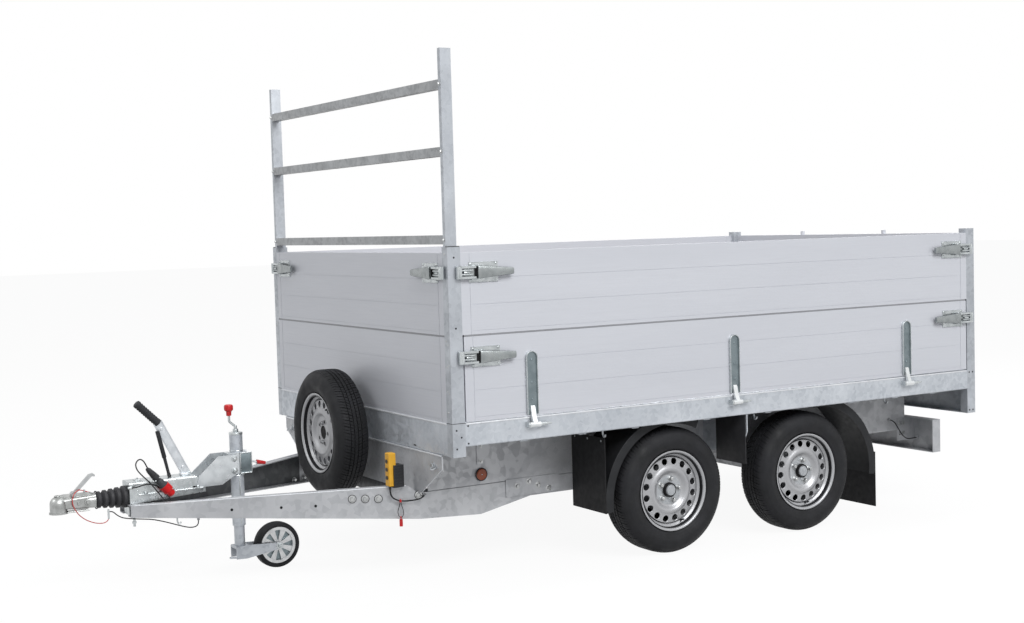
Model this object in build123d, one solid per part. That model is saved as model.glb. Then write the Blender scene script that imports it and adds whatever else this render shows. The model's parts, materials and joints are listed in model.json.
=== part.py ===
"""Tandem-axle drop-side utility trailer with board extensions and a front ladder rack.

Millimetres. +X points forward to the coupling, +Y to the trailer's left, +Z up.
The origin is on the ground, under the middle of the overall length and width.
"""
import os
from math import atan2, cos, degrees, hypot, pi, radians, sin, tan

from build123d import *

# ---------------------------------------------------------------- driving dimensions
BED_L = 3262.0            # outside length of the bed, front rail face to rear sill face
BED_W = 2020.0            # outside width of the bed, over the side rails
RAIL_TOP = 750.0          # height of the rails' top above the ground
SIDE_RAIL_H = 104.0
FRONT_RAIL_H = 147.0
SILL_H = 237.0
RAIL_FLANGE = 60.0        # width of the side rails' and the sill's flanges
FRONT_RAIL_FLANGE = 50.0
SHEET = 4.0               # wall of the folded rails, posts and cross members
HEAVY_SHEET = 5.0         # wall of the folded chassis and drawbar beams

BOARD_T = 25.0
GROOVE_W = 3.0            # grooves between the boards' planks
GROOVE_D = 1.5
END_STRIP_W = 44.0        # end profile of each board
FOOT_STRIP_H = 16.0       # lip profile along each board's lower edge
PLANKS = 3
SEAM_Z = 1135.0           # middle of the gap between lower and upper boards
SEAM_GAP = 8.0
BOARD_TOP = 1500.0
BOARD_SEAT_GAP = 6.0      # hinged boards run this far above the rails
BOARD_END_GAP = 6.0       # and this far from the posts
FLOOR_T = 18.0

FRONT_POST_D = 64.0       # along X
REAR_POST_D = 60.0
POST_W = 50.0             # along Y
FRONT_POST_TOP = 1526.0
REAR_POST_TOP = 1519.0
LADDER_TOP = 2388.0
UPRIGHT_W = 24.0
FIT = 0.3                 # slip fit between a post and its socket
LADDER_RAIL = 40.0
LADDER_RAIL_HEIGHTS = (1558.0, 1942.0, 2234.0)

BEAM_BOTTOM = 400.0       # chassis beams
BEAM_TOP = 632.0
BEAM_INSET = 350.0        # outer face of each chassis beam from the bed's side
BEAM_FLANGE = 60.0
BEAM_SETBACK = 182.0      # rear end of the chassis beams from the bed's rear
BEARER_W = 40.0
BEARER_LAST_INSET = 80.0  # last bearer ahead of the beams' rear end

DRAWBAR_REACH = 1164.0    # from the bed's front to the drawbar's front end
DRAWBAR_FRONT_OUT = 90.0  # outer face of each drawbar at its front end
DRAWBAR_FLANGE = 45.0

COUPLING_OVERHANG = 341.0 # from the drawbar's front end to the coupling's nose

WHEEL_R = 308.0
TYRE_W = 194.0
RIM_LIP_R = 195.5
RIM_SEAT_R = 177.8
RIM_HALF_W = 84.0
WHEEL_INSET = 53.0        # outer lip plane of each rim from the bed's side
GUARD_INSET = 12.0        # mudguards' outer lip inside the rims' lip plane
AXLE_PLACES = (1231.5, 2077.0)   # behind the bed's front
RIM_SHEET = 5.0
RIM_HOLES = 16
RIM_HOLE_R = 14.0
RIM_HOLE_PITCH_R = 135.0
WHEEL_BOLTS = 5
BOLT_PITCH_R = 56.0

PIVOT_OUT = 22.0          # hinge line of the boards outside their face
EYE_R = 15.0              # hinge eye of each strap
NOSE_REACH = DRAWBAR_REACH + COUPLING_OVERHANG
X_FRONT = (BED_L + PIVOT_OUT + EYE_R - NOSE_REACH) / 2
HALF_W = BED_W / 2
BEAM_OUT = HALF_W - BEAM_INSET
BEAM_L = BED_L - BEAM_SETBACK
# floor bearers' middles behind the bed's front, clear of the mudguards' tops
BEARER_PLACES = (400.0, 720.0, 1020.0, 1450.0, 1840.0, 2400.0, 2720.0, BEAM_L - BEARER_LAST_INSET)
WHEEL_OUT = HALF_W - WHEEL_INSET
LOWER_TOP = SEAM_Z - SEAM_GAP / 2
UPPER_BOTTOM = SEAM_Z + SEAM_GAP / 2
LOWER_BOTTOM = RAIL_TOP + BOARD_SEAT_GAP
POST_IN = HALF_W - POST_W
RAIL_IN = HALF_W - RAIL_FLANGE
WHEEL_Y = WHEEL_OUT - RIM_HALF_W
GUARD_OUT = WHEEL_OUT - GUARD_INSET
SIDES = ((1, "left"), (-1, "right"))


def aft(distance):
    """X at a distance behind the bed's front face."""
    return X_FRONT - distance


def ahead(distance):
    """X at a distance ahead of the bed's front face."""
    return X_FRONT + distance


def at(point):
    """Point given as (ahead of the bed's front, y, z)."""
    return (ahead(point[0]), point[1], point[2])


REAR = aft(BED_L)


# ---------------------------------------------------------------- small builders
def block(x, y, z):
    """Box from three (low, high) pairs, in any order."""
    spans = [(min(pair), max(pair)) for pair in (x, y, z)]
    size = [high - low for low, high in spans]
    middle = [(high + low) / 2 for low, high in spans]
    return Pos(*middle) * Box(*size)


def rod(start, end, radius, end_radius=None):
    """Round bar or cone between two points."""
    a, b = Vector(*start), Vector(*end)
    plane = Plane(origin=a, z_dir=b - a)
    length = (b - a).length
    if end_radius is None:
        return plane * Pos(0, 0, length / 2) * Cylinder(radius, length)
    return plane * Pos(0, 0, length / 2) * Cone(radius, end_radius, length)


def prism_y(points, y_low, y_high):
    """Outline in (x, z) carried from y_low to y_high."""
    face = Plane.XZ.offset(-y_low) * make_face(Polyline(*points, close=True))
    return extrude(face, y_high - y_low, dir=(0, 1, 0))


def prism_x(points, x_low, x_high):
    """Outline in (y, z) carried from x_low to x_high."""
    face = Plane.YZ.offset(x_low) * make_face(Polyline(*points, close=True))
    return extrude(face, x_high - x_low, dir=(1, 0, 0))


def prism_z(points, z_low, z_high):
    """Outline in (x, y) carried from z_low to z_high."""
    face = Plane.XY.offset(z_low) * make_face(Polyline(*points, close=True))
    return extrude(face, z_high - z_low, dir=(0, 0, 1))


def channel(width, height, wall):
    """C section in its own plane: web on the left at u = 0, flanges to u = width."""
    outer = Pos(width / 2, height / 2) * Rectangle(width, height)
    hollow = Pos(wall + width / 2, height / 2) * Rectangle(width, height - 2 * wall)
    section = outer - hollow
    corners = [v for v in section.vertices() if v.X < 0.01]
    return fillet(corners, wall * 1.5)


def both(shape):
    """The shape and its mirror image across the trailer's centre plane."""
    return [shape, mirror(shape, Plane.XZ)]


def solids(*shapes):
    """All solids of the given shapes as one compound."""
    found = []
    for shape in shapes:
        items = shape if isinstance(shape, (list, tuple)) else [shape]
        for item in items:
            found += list(item.solids())
    return Compound(children=found)


# ---------------------------------------------------------------- bed frame
def side_rails():
    """C-section rails with their open side inward, between the corner posts."""
    length = BED_L - FRONT_POST_D - REAR_POST_D
    section = Plane.YZ.offset(aft(BED_L - REAR_POST_D)) * (
        Pos(HALF_W, RAIL_TOP - SIDE_RAIL_H) * mirror(channel(RAIL_FLANGE, SIDE_RAIL_H, SHEET), Plane.YZ))
    return both(extrude(section, length, dir=(1, 0, 0)))


def end_rail(x_face, inward, flange, height, half_length):
    """C-section rail across the bed, its web at x_face and its flanges pointing inward."""
    section = channel(flange, height, SHEET)
    plane = Plane(origin=(x_face, -half_length, RAIL_TOP - height), x_dir=(inward, 0, 0),
                  z_dir=(0, -inward, 0))
    return extrude(plane * section, 2 * half_length, dir=(0, 1, 0))


def front_rail():
    return end_rail(X_FRONT, -1, FRONT_RAIL_FLANGE, FRONT_RAIL_H, POST_IN)


def rear_sill():
    return end_rail(REAR, 1, RAIL_FLANGE, SILL_H, POST_IN)


def floor():
    top, half = RAIL_TOP, RAIL_IN
    return block((aft(FRONT_RAIL_FLANGE), REAR + RAIL_FLANGE), (-half, half), (top - FLOOR_T, top))


OUTRIGGER_T = 6.0
OUTRIGGER_LOW = 440.0
OUTRIGGER_TIP_LOW = 560.0


def cross_members():
    """Floor bearers on the chassis beams, and the outrigger plates between the wheels."""
    pieces = []
    for place in BEARER_PLACES:
        plane = Plane(origin=(aft(place + BEARER_W / 2), -RAIL_IN, BEAM_TOP), x_dir=(1, 0, 0),
                      z_dir=(0, -1, 0))
        section = plane * channel(BEARER_W, RAIL_TOP - FLOOR_T - BEAM_TOP, SHEET)
        pieces.append(extrude(section, 2 * RAIL_IN, dir=(0, 1, 0)))
    middle = aft(sum(AXLE_PLACES) / 2)
    top = RAIL_TOP - SIDE_RAIL_H
    tip = HALF_W - SHEET
    outline = [(BEAM_OUT, OUTRIGGER_LOW), (BEAM_OUT, BEAM_TOP - SHEET), (RAIL_IN, BEAM_TOP - SHEET),
               (RAIL_IN, top), (tip, top), (tip, OUTRIGGER_TIP_LOW), (GUARD_OUT, OUTRIGGER_LOW)]
    return pieces + both(prism_x(outline, middle - OUTRIGGER_T / 2, middle + OUTRIGGER_T / 2))


LAP_SPAN = (463.0, 760.0) # plate over the joint of beam and drawbar, behind the bed's front
LAP_Z = (325.0, 408.0)
TAB_PLACE = 332.0
TAB_W = 45.0
TAB_LOW = 491.0
LAMP_GROMMET_Z = 463.0
LAMP_GROMMET_INSET = 119.0   # ahead of the beam's rear end
GROMMET_R = 11.0
GROMMET_OUT = 8.0


def chassis_beams():
    """Deep folded beams under the bearers, open side inward, with the plates welded to them."""
    height = BEAM_TOP - BEAM_BOTTOM
    section = Plane.YZ.offset(aft(BEAM_L)) * (
        Pos(BEAM_OUT, BEAM_BOTTOM) * mirror(channel(BEAM_FLANGE, height, HEAVY_SHEET), Plane.YZ))
    beam = extrude(section, BEAM_L - FRONT_RAIL_FLANGE, dir=(1, 0, 0))
    lap = block((aft(LAP_SPAN[0]), aft(LAP_SPAN[1])), (BEAM_OUT, BEAM_OUT + HEAVY_SHEET), LAP_Z)
    tab = block((aft(TAB_PLACE - TAB_W / 2), aft(TAB_PLACE + TAB_W / 2)), (BEAM_OUT, BEAM_OUT + SHEET),
                (TAB_LOW, BEAM_TOP))
    foot = tab.edges().filter_by(Axis.Y).group_by(Axis.Z)[0]
    left = beam + lap + fillet(foot, TAB_W / 3)
    grommet_x = aft(BEAM_L - LAMP_GROMMET_INSET)
    grommet = rod((grommet_x, BEAM_OUT - 2, LAMP_GROMMET_Z),
                  (grommet_x, BEAM_OUT + GROMMET_OUT, LAMP_GROMMET_Z), GROMMET_R)
    return [left + grommet, mirror(left, Plane.XZ)]


# front cross plate: half outline, (distance from the centre line, height)
CROSS_PLATE_OUT = HALF_W - 105.0
CROSS_PLATE_HALF = ((CROSS_PLATE_OUT, 598.0), (CROSS_PLATE_OUT, 530.0), (BEAM_OUT + 5.0, BEAM_BOTTOM))
CROSS_PLATE_LIP = 45.0


def front_cross_plate():
    """Chamfered plate under the front rail, with a lip folded back along its top."""
    right = [(-y, z) for y, z in reversed(CROSS_PLATE_HALF)]
    plate = prism_x(list(CROSS_PLATE_HALF) + right, aft(HEAVY_SHEET), X_FRONT)
    half, top = CROSS_PLATE_HALF[0]
    lip = block((aft(CROSS_PLATE_LIP), X_FRONT), (-half, half), (top, RAIL_TOP - FRONT_RAIL_H))
    return plate + lip


# ---------------------------------------------------------------- drawbar
# elevation, (distance ahead of the bed's front, height)
DRAWBAR_TOP_LINE = ((DRAWBAR_REACH, 397.0), (40.0, 436.0), (0.0, BEAM_BOTTOM), (-900.0, BEAM_BOTTOM))
DRAWBAR_BOTTOM_LINE = ((DRAWBAR_REACH, 343.0), (-326.0, 262.0), (-600.0, 318.0), (-900.0, 318.0))
DRAWBAR_BEND = -10.0      # where the beams leave the V and run along the chassis


def plan_strip(width):
    """Plan outline of a strip along the drawbar's outer face, of the given width inward."""
    dx, dy = DRAWBAR_REACH - DRAWBAR_BEND, BEAM_OUT - DRAWBAR_FRONT_OUT
    lean = atan2(dy, dx)
    miter = width * tan(lean / 2)
    end = -DRAWBAR_TOP_LINE[-1][0]
    bend_x = X_FRONT + DRAWBAR_BEND
    front_y = DRAWBAR_FRONT_OUT - width / cos(lean)
    return [(aft(end), BEAM_OUT), (bend_x, BEAM_OUT), (X_FRONT + DRAWBAR_REACH, DRAWBAR_FRONT_OUT),
            (X_FRONT + DRAWBAR_REACH, front_y), (bend_x - miter, BEAM_OUT - width),
            (aft(end), BEAM_OUT - width)]


def line_points(line, drop=0.0):
    return [(X_FRONT + ahead, z + drop) for ahead, z in line]


def drawbar_face(back):
    """The left drawbar's outer face: its y at a distance behind the drawbar's front end."""
    slope = (BEAM_OUT - DRAWBAR_FRONT_OUT) / (DRAWBAR_REACH - DRAWBAR_BEND)
    return DRAWBAR_FRONT_OUT + slope * back


CLIP_BACK = 275.0                # clip under the left drawbar, behind the drawbar's front end
CLIP_IN = 24.5                   # from the drawbar's outer face
CABLE_CLIP = (DRAWBAR_REACH - CLIP_BACK, drawbar_face(CLIP_BACK) - CLIP_IN)
CABLE_CLIP_LOW = 316.0
# control lead's angled grommet, from the web to its mouth: ahead of the bed's front, y, z
LEAD_GROMMET = ((-38.0, BEAM_OUT - 5.5, 389.0), (-24.0, BEAM_OUT + 8.0, 386.0))


def drawbars():
    """Folded channels: a tapering web, with flanges inward along its top and bottom edges."""
    top, bottom = DRAWBAR_TOP_LINE, DRAWBAR_BOTTOM_LINE
    z_low, z_high = 200.0, 500.0
    far = BEAM_OUT + 10

    def trimmed(width, outline):
        strip = prism_z(plan_strip(width), z_low, z_high)
        return strip & prism_y(outline, -far, far)

    web = trimmed(HEAVY_SHEET, line_points(top) + line_points(bottom)[::-1])
    upper = trimmed(DRAWBAR_FLANGE, line_points(top) + line_points(top, -HEAVY_SHEET)[::-1])
    lower = trimmed(DRAWBAR_FLANGE, line_points(bottom, HEAVY_SHEET) + line_points(bottom)[::-1])
    beam = web + upper + lower
    clip_x, clip_y = ahead(CABLE_CLIP[0]), CABLE_CLIP[1]
    clip = rod((clip_x, clip_y, CABLE_CLIP_LOW), (clip_x, clip_y, CABLE_CLIP_LOW + 15), 6)
    grommet = rod(at(LEAD_GROMMET[0]), at(LEAD_GROMMET[1]), 7)
    return [beam + clip + grommet, mirror(beam, Plane.XZ)]


# ---------------------------------------------------------------- posts and ladder rack
def tube_post(x_front, depth, z_low, z_high, wall):
    """Square-cornered tube standing at the left, its outer side on the bed's side plane."""
    outer = block((x_front, x_front - depth), (POST_IN, HALF_W), (z_low, z_high))
    inner = block((x_front - wall, x_front - depth + wall), (POST_IN + wall, HALF_W - wall),
                  (z_low + wall, z_high + 1))
    return outer - inner


def keeper(frame):
    """Catch block on a post: see latch() for the frame."""
    return frame * block((-LATCH_REACH, -LATCH_REACH + KEEPER_L), (-KEEPER_W / 2, KEEPER_W / 2), (0, KEEPER_H))


CAP_T = 5.0


def corner_posts():
    """Lower front posts on their feet, and the full-height rear posts."""
    foot = block((X_FRONT, aft(FRONT_POST_D)), (POST_IN, HALF_W),
                 (RAIL_TOP - FRONT_RAIL_H, RAIL_TOP))
    front = foot + tube_post(X_FRONT, FRONT_POST_D, RAIL_TOP, SEAM_Z, SHEET)
    front = front + keeper(side_latch_frame(LOWER_LATCH_Z, at_front=True))
    rear = tube_post(REAR + REAR_POST_D, REAR_POST_D, RAIL_TOP - SILL_H, REAR_POST_TOP, SHEET)
    rear = rear + block((REAR + REAR_POST_D, REAR), (POST_IN, HALF_W), (REAR_POST_TOP, REAR_POST_TOP + CAP_T))
    for height in (LOWER_LATCH_Z, UPPER_LATCH_Z):
        rear = rear + keeper(side_latch_frame(height, at_front=False)) + keeper(tail_latch_frame(height))
    return both(front) + both(rear)


def front_posts_upper():
    """Sockets that carry the ladder uprights, with the keepers of the extension boards."""
    socket = tube_post(X_FRONT, FRONT_POST_D, SEAM_Z, FRONT_POST_TOP, HEAVY_SHEET)
    socket = socket + keeper(side_latch_frame(UPPER_LATCH_Z, at_front=True)) + keeper(
        front_latch_frame(UPPER_LATCH_Z))
    return both(socket)


UPRIGHT_OUT = HALF_W - POST_W + HEAVY_SHEET + FIT + UPRIGHT_W
UPRIGHT_IN = UPRIGHT_OUT - UPRIGHT_W
UPRIGHT_FRONT = X_FRONT - HEAVY_SHEET - FIT
UPRIGHT_D = FRONT_POST_D - 2 * (HEAVY_SHEET + FIT)


def ladder_uprights():
    outer = block((UPRIGHT_FRONT, UPRIGHT_FRONT - UPRIGHT_D), (UPRIGHT_IN, UPRIGHT_OUT),
                  (SEAM_Z + HEAVY_SHEET, LADDER_TOP))
    return both(outer)


def ladder_rails():
    pieces = []
    for height in LADDER_RAIL_HEIGHTS:
        pieces.append(block((UPRIGHT_FRONT, UPRIGHT_FRONT - LADDER_RAIL), (-UPRIGHT_IN, UPRIGHT_IN),
                            (height - LADDER_RAIL / 2, height + LADDER_RAIL / 2)))
    return pieces


# ---------------------------------------------------------------- boards
def board_span():
    """Ends of the side boards along X."""
    return aft(FRONT_POST_D + BOARD_END_GAP), REAR + REAR_POST_D + BOARD_END_GAP


def board(length, height):
    """Board of extruded planks in its own frame: u along it, v outward, w up from its lower edge."""
    body = block((0, length), (0, BOARD_T), (0, height))
    inner_ends = (END_STRIP_W, length - END_STRIP_W)
    plank_h = (height - FOOT_STRIP_H) / PLANKS
    joints = [FOOT_STRIP_H + plank_h * index for index in range(PLANKS)]
    for v in ((-1, GROOVE_D), (BOARD_T - GROOVE_D, BOARD_T + 1)):
        for w in joints:
            body = body - block(inner_ends, v, (w - GROOVE_W / 2, w + GROOVE_W / 2))
        for u in inner_ends:
            body = body - block((u - GROOVE_W / 2, u + GROOVE_W / 2), v, (-1, height + 1))
    return body


def side_board(ends, z_low, z_high):
    """Board of the left side between two places along X."""
    low, high = min(ends), max(ends)
    return Pos(low, HALF_W - BOARD_T, z_low) * board(high - low, z_high - z_low)


def front_board(half, z_low, z_high):
    return Pos(X_FRONT - BOARD_T, half, z_low) * Rot(0, 0, -90) * board(2 * half, z_high - z_low)


def tail_board(half, z_low, z_high):
    return Pos(REAR + BOARD_T, -half, z_low) * Rot(0, 0, 90) * board(2 * half, z_high - z_low)


def front_board_lower():
    return front_board(POST_IN, RAIL_TOP, LOWER_TOP)


def side_board_lower(side):
    left = side_board(board_span(), LOWER_BOTTOM, LOWER_TOP)
    return left if side > 0 else mirror(left, Plane.XZ)


def tail_board_lower():
    return tail_board(POST_IN - BOARD_END_GAP, LOWER_BOTTOM, LOWER_TOP)


STUD_H = 22.0
STUD_OUT = 347.0          # studs on the tail's extension board, from the centre line


def upper_boards():
    """Lift-out extension boards: front, left, right and tail."""
    z = (UPPER_BOTTOM, BOARD_TOP)
    side = side_board((aft(FRONT_POST_D), REAR + REAR_POST_D), *z)
    tail = tail_board(POST_IN, *z)
    for sign, _ in SIDES:
        tail = tail + Pos(REAR + BOARD_T / 2, sign * STUD_OUT, BOARD_TOP + STUD_H / 2) * Cylinder(
            BOARD_T / 2, STUD_H)
    return [front_board(POST_IN, *z)] + both(side) + [tail]


# ---------------------------------------------------------------- latches
# A latch is drawn in its own frame: u from the board's end towards the handle, v up, w outward.
LATCH_W = 58.0
LATCH_REACH = 22.0        # keeper's far edge from the board's end
KEEPER_L = 12.0
KEEPER_W = 50.0
KEEPER_H = 9.0
CLAW_CLEAR = 5.5          # running gap between claw and keeper
CLAW_T = 8.0
CLAW_TOOTH = 6.5
BAIL_W = 12.0             # width of the claw's side arms
BAIL_END = 60.0
PLATE_START = 32.0
PLATE_L = 149.0
PLATE_W = 90.0
PLATE_T = 3.0
PIVOT_SPAN = (40.0, 82.0)
HANDLE_START = 70.0
HANDLE_END = 250.0        # from the board's end to the handle's tip
HANDLE_ROOT_W = 58.0
HANDLE_TIP_W = 30.0
HANDLE_T = 14.0
HANDLE_BEVEL = 5.0
UPPER_LATCH_Z = 1413.0
LOWER_LATCH_Z = 1040.0


def latch():
    """Over-centre latch: base plate, pivot block, bail with its claw, tapered handle."""
    plate = block((PLATE_START, PLATE_START + PLATE_L), (-PLATE_W / 2, PLATE_W / 2), (0, PLATE_T))
    claw_low = KEEPER_H + CLAW_CLEAR
    claw_high = claw_low + CLAW_T
    claw_end = -LATCH_REACH - CLAW_CLEAR
    half = LATCH_W / 2
    pivot = block(PIVOT_SPAN, (-half + 6, half - 6), (PLATE_T, claw_high))
    bail = block((claw_end - CLAW_TOOTH, BAIL_END), (-half, half), (claw_low, claw_high))
    window = block((-LATCH_REACH + KEEPER_L, BAIL_END - 30), (-half + BAIL_W, half - BAIL_W),
                   (claw_low - 1, claw_high + 1))
    tooth = block((claw_end - CLAW_TOOTH, claw_end), (-half, half), (CLAW_CLEAR, claw_low))
    root, tip = HANDLE_ROOT_W / 2, HANDLE_TIP_W / 2
    outline = [(HANDLE_START, -root), (HANDLE_END, -tip), (HANDLE_END, tip), (HANDLE_START, root)]
    handle = prism_z(outline, claw_low + 2, claw_low + 2 + HANDLE_T)
    handle = chamfer(handle.faces().sort_by(Axis.Z)[-1].edges(), HANDLE_BEVEL)
    return plate + pivot + (bail - window) + tooth + handle


def side_latch_frame(height, at_front):
    """Frame of a latch on the left side."""
    front_end, rear_end = board_span()
    if at_front:
        return Location(Plane(origin=(front_end, HALF_W, height), x_dir=(-1, 0, 0), z_dir=(0, 1, 0)))
    return Location(Plane(origin=(rear_end, HALF_W, height), x_dir=(1, 0, 0), z_dir=(0, 1, 0)))


def tail_latch_frame(height):
    """Frame of the tail's left latch."""
    end = POST_IN - BOARD_END_GAP
    return Location(Plane(origin=(REAR, end, height), x_dir=(0, -1, 0), z_dir=(-1, 0, 0)))


def front_latch_frame(height):
    """Frame of the front's left latch."""
    end = POST_IN - BOARD_END_GAP
    return Location(Plane(origin=(X_FRONT, end, height), x_dir=(0, -1, 0), z_dir=(1, 0, 0)))


def side_latch_frames(height):
    return [side_latch_frame(height, at_front=True), side_latch_frame(height, at_front=False)]


def upper_latches():
    """Latches of the lift-out boards."""
    frames = side_latch_frames(UPPER_LATCH_Z) + [tail_latch_frame(UPPER_LATCH_Z),
                                                 front_latch_frame(UPPER_LATCH_Z)]
    pieces = []
    for frame in frames:
        pieces += both(frame * latch())
    return pieces


# ---------------------------------------------------------------- strap hinges
PIVOT_DROP = 33.0         # hinge line below the rail's top
PIVOT_Z = RAIL_TOP - PIVOT_DROP
PIN_R = 8.0
PIN_FIT = 0.4
EYE_W = 56.0
STRAP_W = 60.0
STRAP_TOP = 1048.0
STRAP_PROUD = 13.0
STRAP_SHEET = 4.0
TONGUE_W = 26.0
TONGUE_H = 62.0
LUG_T = 8.0
PIN_TAIL = 88.0           # pin's tip from the strap's middle
PIN_TAPER = 30.0
LUG_R = 12.0
LUG_GAP = 1.0             # between lug and strap eye
SIDE_STRAPS = (410.0, 1575.0, 2740.0)   # behind the front
TAIL_STRAP_OUT = HALF_W - 450.0


def strap():
    """Hinge strap in its own frame: u along the board, v outward from its face, w up; u = 0 midway."""
    half = STRAP_W / 2
    low = LOWER_BOTTOM + 4
    round_z = STRAP_TOP - half
    face = Plane.XZ * (Pos(0, (low + round_z) / 2) * Rectangle(STRAP_W, round_z - low)
                       + Pos(0, round_z) * Circle(half))
    body = extrude(face, STRAP_PROUD, dir=(0, 1, 0))
    inner = Plane.XZ * (Pos(0, (low + round_z) / 2) * Rectangle(STRAP_W - 2 * STRAP_SHEET, round_z - low + 1)
                        + Pos(0, round_z) * Circle(half - STRAP_SHEET))
    body = body - extrude(inner, STRAP_PROUD - STRAP_SHEET, dir=(0, 1, 0))
    neck = block((-EYE_W / 2, EYE_W / 2), (STRAP_PROUD - STRAP_SHEET, STRAP_PROUD), (PIVOT_Z, low + 20))
    tongue = prism_x([(STRAP_PROUD - STRAP_SHEET, low + TONGUE_H), (STRAP_PROUD, low + TONGUE_H),
                      (PIVOT_OUT + EYE_R - 3, PIVOT_Z + 6), (STRAP_PROUD - STRAP_SHEET, PIVOT_Z + 6)],
                     -TONGUE_W / 2, TONGUE_W / 2)
    eye = Pos(0, PIVOT_OUT, PIVOT_Z) * Rot(0, 90, 0) * Cylinder(EYE_R, EYE_W)
    bore = Pos(0, PIVOT_OUT, PIVOT_Z) * Rot(0, 90, 0) * Cylinder(PIN_R + PIN_FIT, EYE_W + 2)
    return body + neck + tongue + eye - bore


def hinge_pin():
    """Pin with its lug, in the strap's frame."""
    start = EYE_W / 2 + LUG_GAP
    taper = PIN_TAPER - PIN_TAIL
    pin = rod((start, PIVOT_OUT, PIVOT_Z), (taper, PIVOT_OUT, PIVOT_Z), PIN_R)
    tip = rod((taper, PIVOT_OUT, PIVOT_Z), (-PIN_TAIL, PIVOT_OUT, PIVOT_Z), PIN_R, PIN_R / 2)
    lug = block((start, start + LUG_T), (0, PIVOT_OUT), (PIVOT_Z - LUG_R, PIVOT_Z + LUG_R))
    eye = Pos(start + LUG_T / 2, PIVOT_OUT, PIVOT_Z) * Rot(0, 90, 0) * Cylinder(LUG_R, LUG_T)
    return pin + tip + lug + eye


def side_frame(place):
    """The strap's frame on the left side: u forward, v outward."""
    return Location((aft(place), HALF_W, 0))


def tail_frame(y):
    """The strap's frame on the tail: u to the left, v rearward."""
    return Location(Plane(origin=(REAR, y, 0), x_dir=(0, 1, 0), z_dir=(0, 0, 1)))


def hinge_pins():
    pieces = []
    for place in SIDE_STRAPS:
        pieces += both(side_frame(place) * hinge_pin())
    for sign, _ in SIDES:
        pieces.append(tail_frame(sign * TAIL_STRAP_OUT) * hinge_pin())
    return pieces


def side_fittings(side):
    """Straps and lower latches that move with one side board."""
    pieces = [side_frame(place) * strap() for place in SIDE_STRAPS]
    pieces += [frame * latch() for frame in side_latch_frames(LOWER_LATCH_Z)]
    if side < 0:
        pieces = [mirror(piece, Plane.XZ) for piece in pieces]
    return pieces


def tail_fittings():
    straps = [tail_frame(sign * TAIL_STRAP_OUT) * strap() for sign, _ in SIDES]
    return straps + both(tail_latch_frame(LOWER_LATCH_Z) * latch())


# ---------------------------------------------------------------- wheels
TYRE_INNER_GAP = 0.2      # between tyre bead and rim seat
BEAD_HALF_W = 76.0
TREAD_HALF_W = 70.0
SHOULDER_R = 296.0
BELLY_R = 246.0
SIDEWALL = 12.0
TREAD_DEPTH = 18.0
DRUM_R = 112.0
DRUM_IN = -108.0          # drum's open side, from the rim's middle plane
HUB_FACE = 14.0           # wheel bolts to the hub at this offset outboard of the rim's middle
STUB_R = 20.0
STUB_FIT = 0.3
STUB_END = 0.0
CAP_R = 32.0
CAP_OUT = 46.0


def revolve_y(outline):
    """Ring about the Y axis from (y, radius) edges given as a closed face in the XY plane."""
    return revolve(outline, axis=Axis((0, 0, 0), (1, 0, 0)))


def ring_profile(points):
    return make_face(Polyline(*points, close=True))


def tyre():
    """Hollow tyre about the X axis, middle plane at x = 0, open towards the rim."""
    half, bead = TYRE_W / 2, RIM_SEAT_R + TYRE_INNER_GAP
    belly_in = half - SIDEWALL
    crown = WHEEL_R - TREAD_DEPTH

    def side(sign):
        wall = ThreePointArc((sign * (BEAD_HALF_W - 0.3), RIM_LIP_R), (sign * half, BELLY_R),
                             (sign * (TREAD_HALF_W + 12), SHOULDER_R))
        return wall

    left, right = side(-1), side(1)
    outer = [left, right,
             Line(left @ 1, (-TREAD_HALF_W, WHEEL_R - 2)), Line((-TREAD_HALF_W, WHEEL_R - 2), (-40, WHEEL_R)),
             Line((-40, WHEEL_R), (40, WHEEL_R)), Line((40, WHEEL_R), (TREAD_HALF_W, WHEEL_R - 2)),
             Line((TREAD_HALF_W, WHEEL_R - 2), right @ 1)]
    heel = BEAD_HALF_W - 0.3
    toe = BEAD_HALF_W - 20
    inner_right = ThreePointArc((toe, RIM_LIP_R + 4), (belly_in, BELLY_R), (TREAD_HALF_W - 6, crown))
    inner_left = ThreePointArc((-toe, RIM_LIP_R + 4), (-belly_in, BELLY_R), (-TREAD_HALF_W + 6, crown))
    inner = [Line(right @ 0, (heel, bead)), Line((heel, bead), (toe, bead)),
             Line((toe, bead), inner_right @ 0), inner_right, Line(inner_right @ 1, inner_left @ 1),
             inner_left, Line(inner_left @ 0, (-toe, bead)), Line((-toe, bead), (-heel, bead)),
             Line((-heel, bead), left @ 0)]
    return revolve_y(make_face(Wire(outer + inner)))


# disc section, (offset outboard of the rim's middle, radius), outer face
DISC_LINE = ((HUB_FACE + RIM_SHEET, 34.0), (HUB_FACE + RIM_SHEET, 78.0), (40.0, 96.0), (46.0, 106.0),
             (44.0, 114.0), (30.0, 152.0), (30.0, 160.0))
BARREL_R = 163.0


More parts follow.
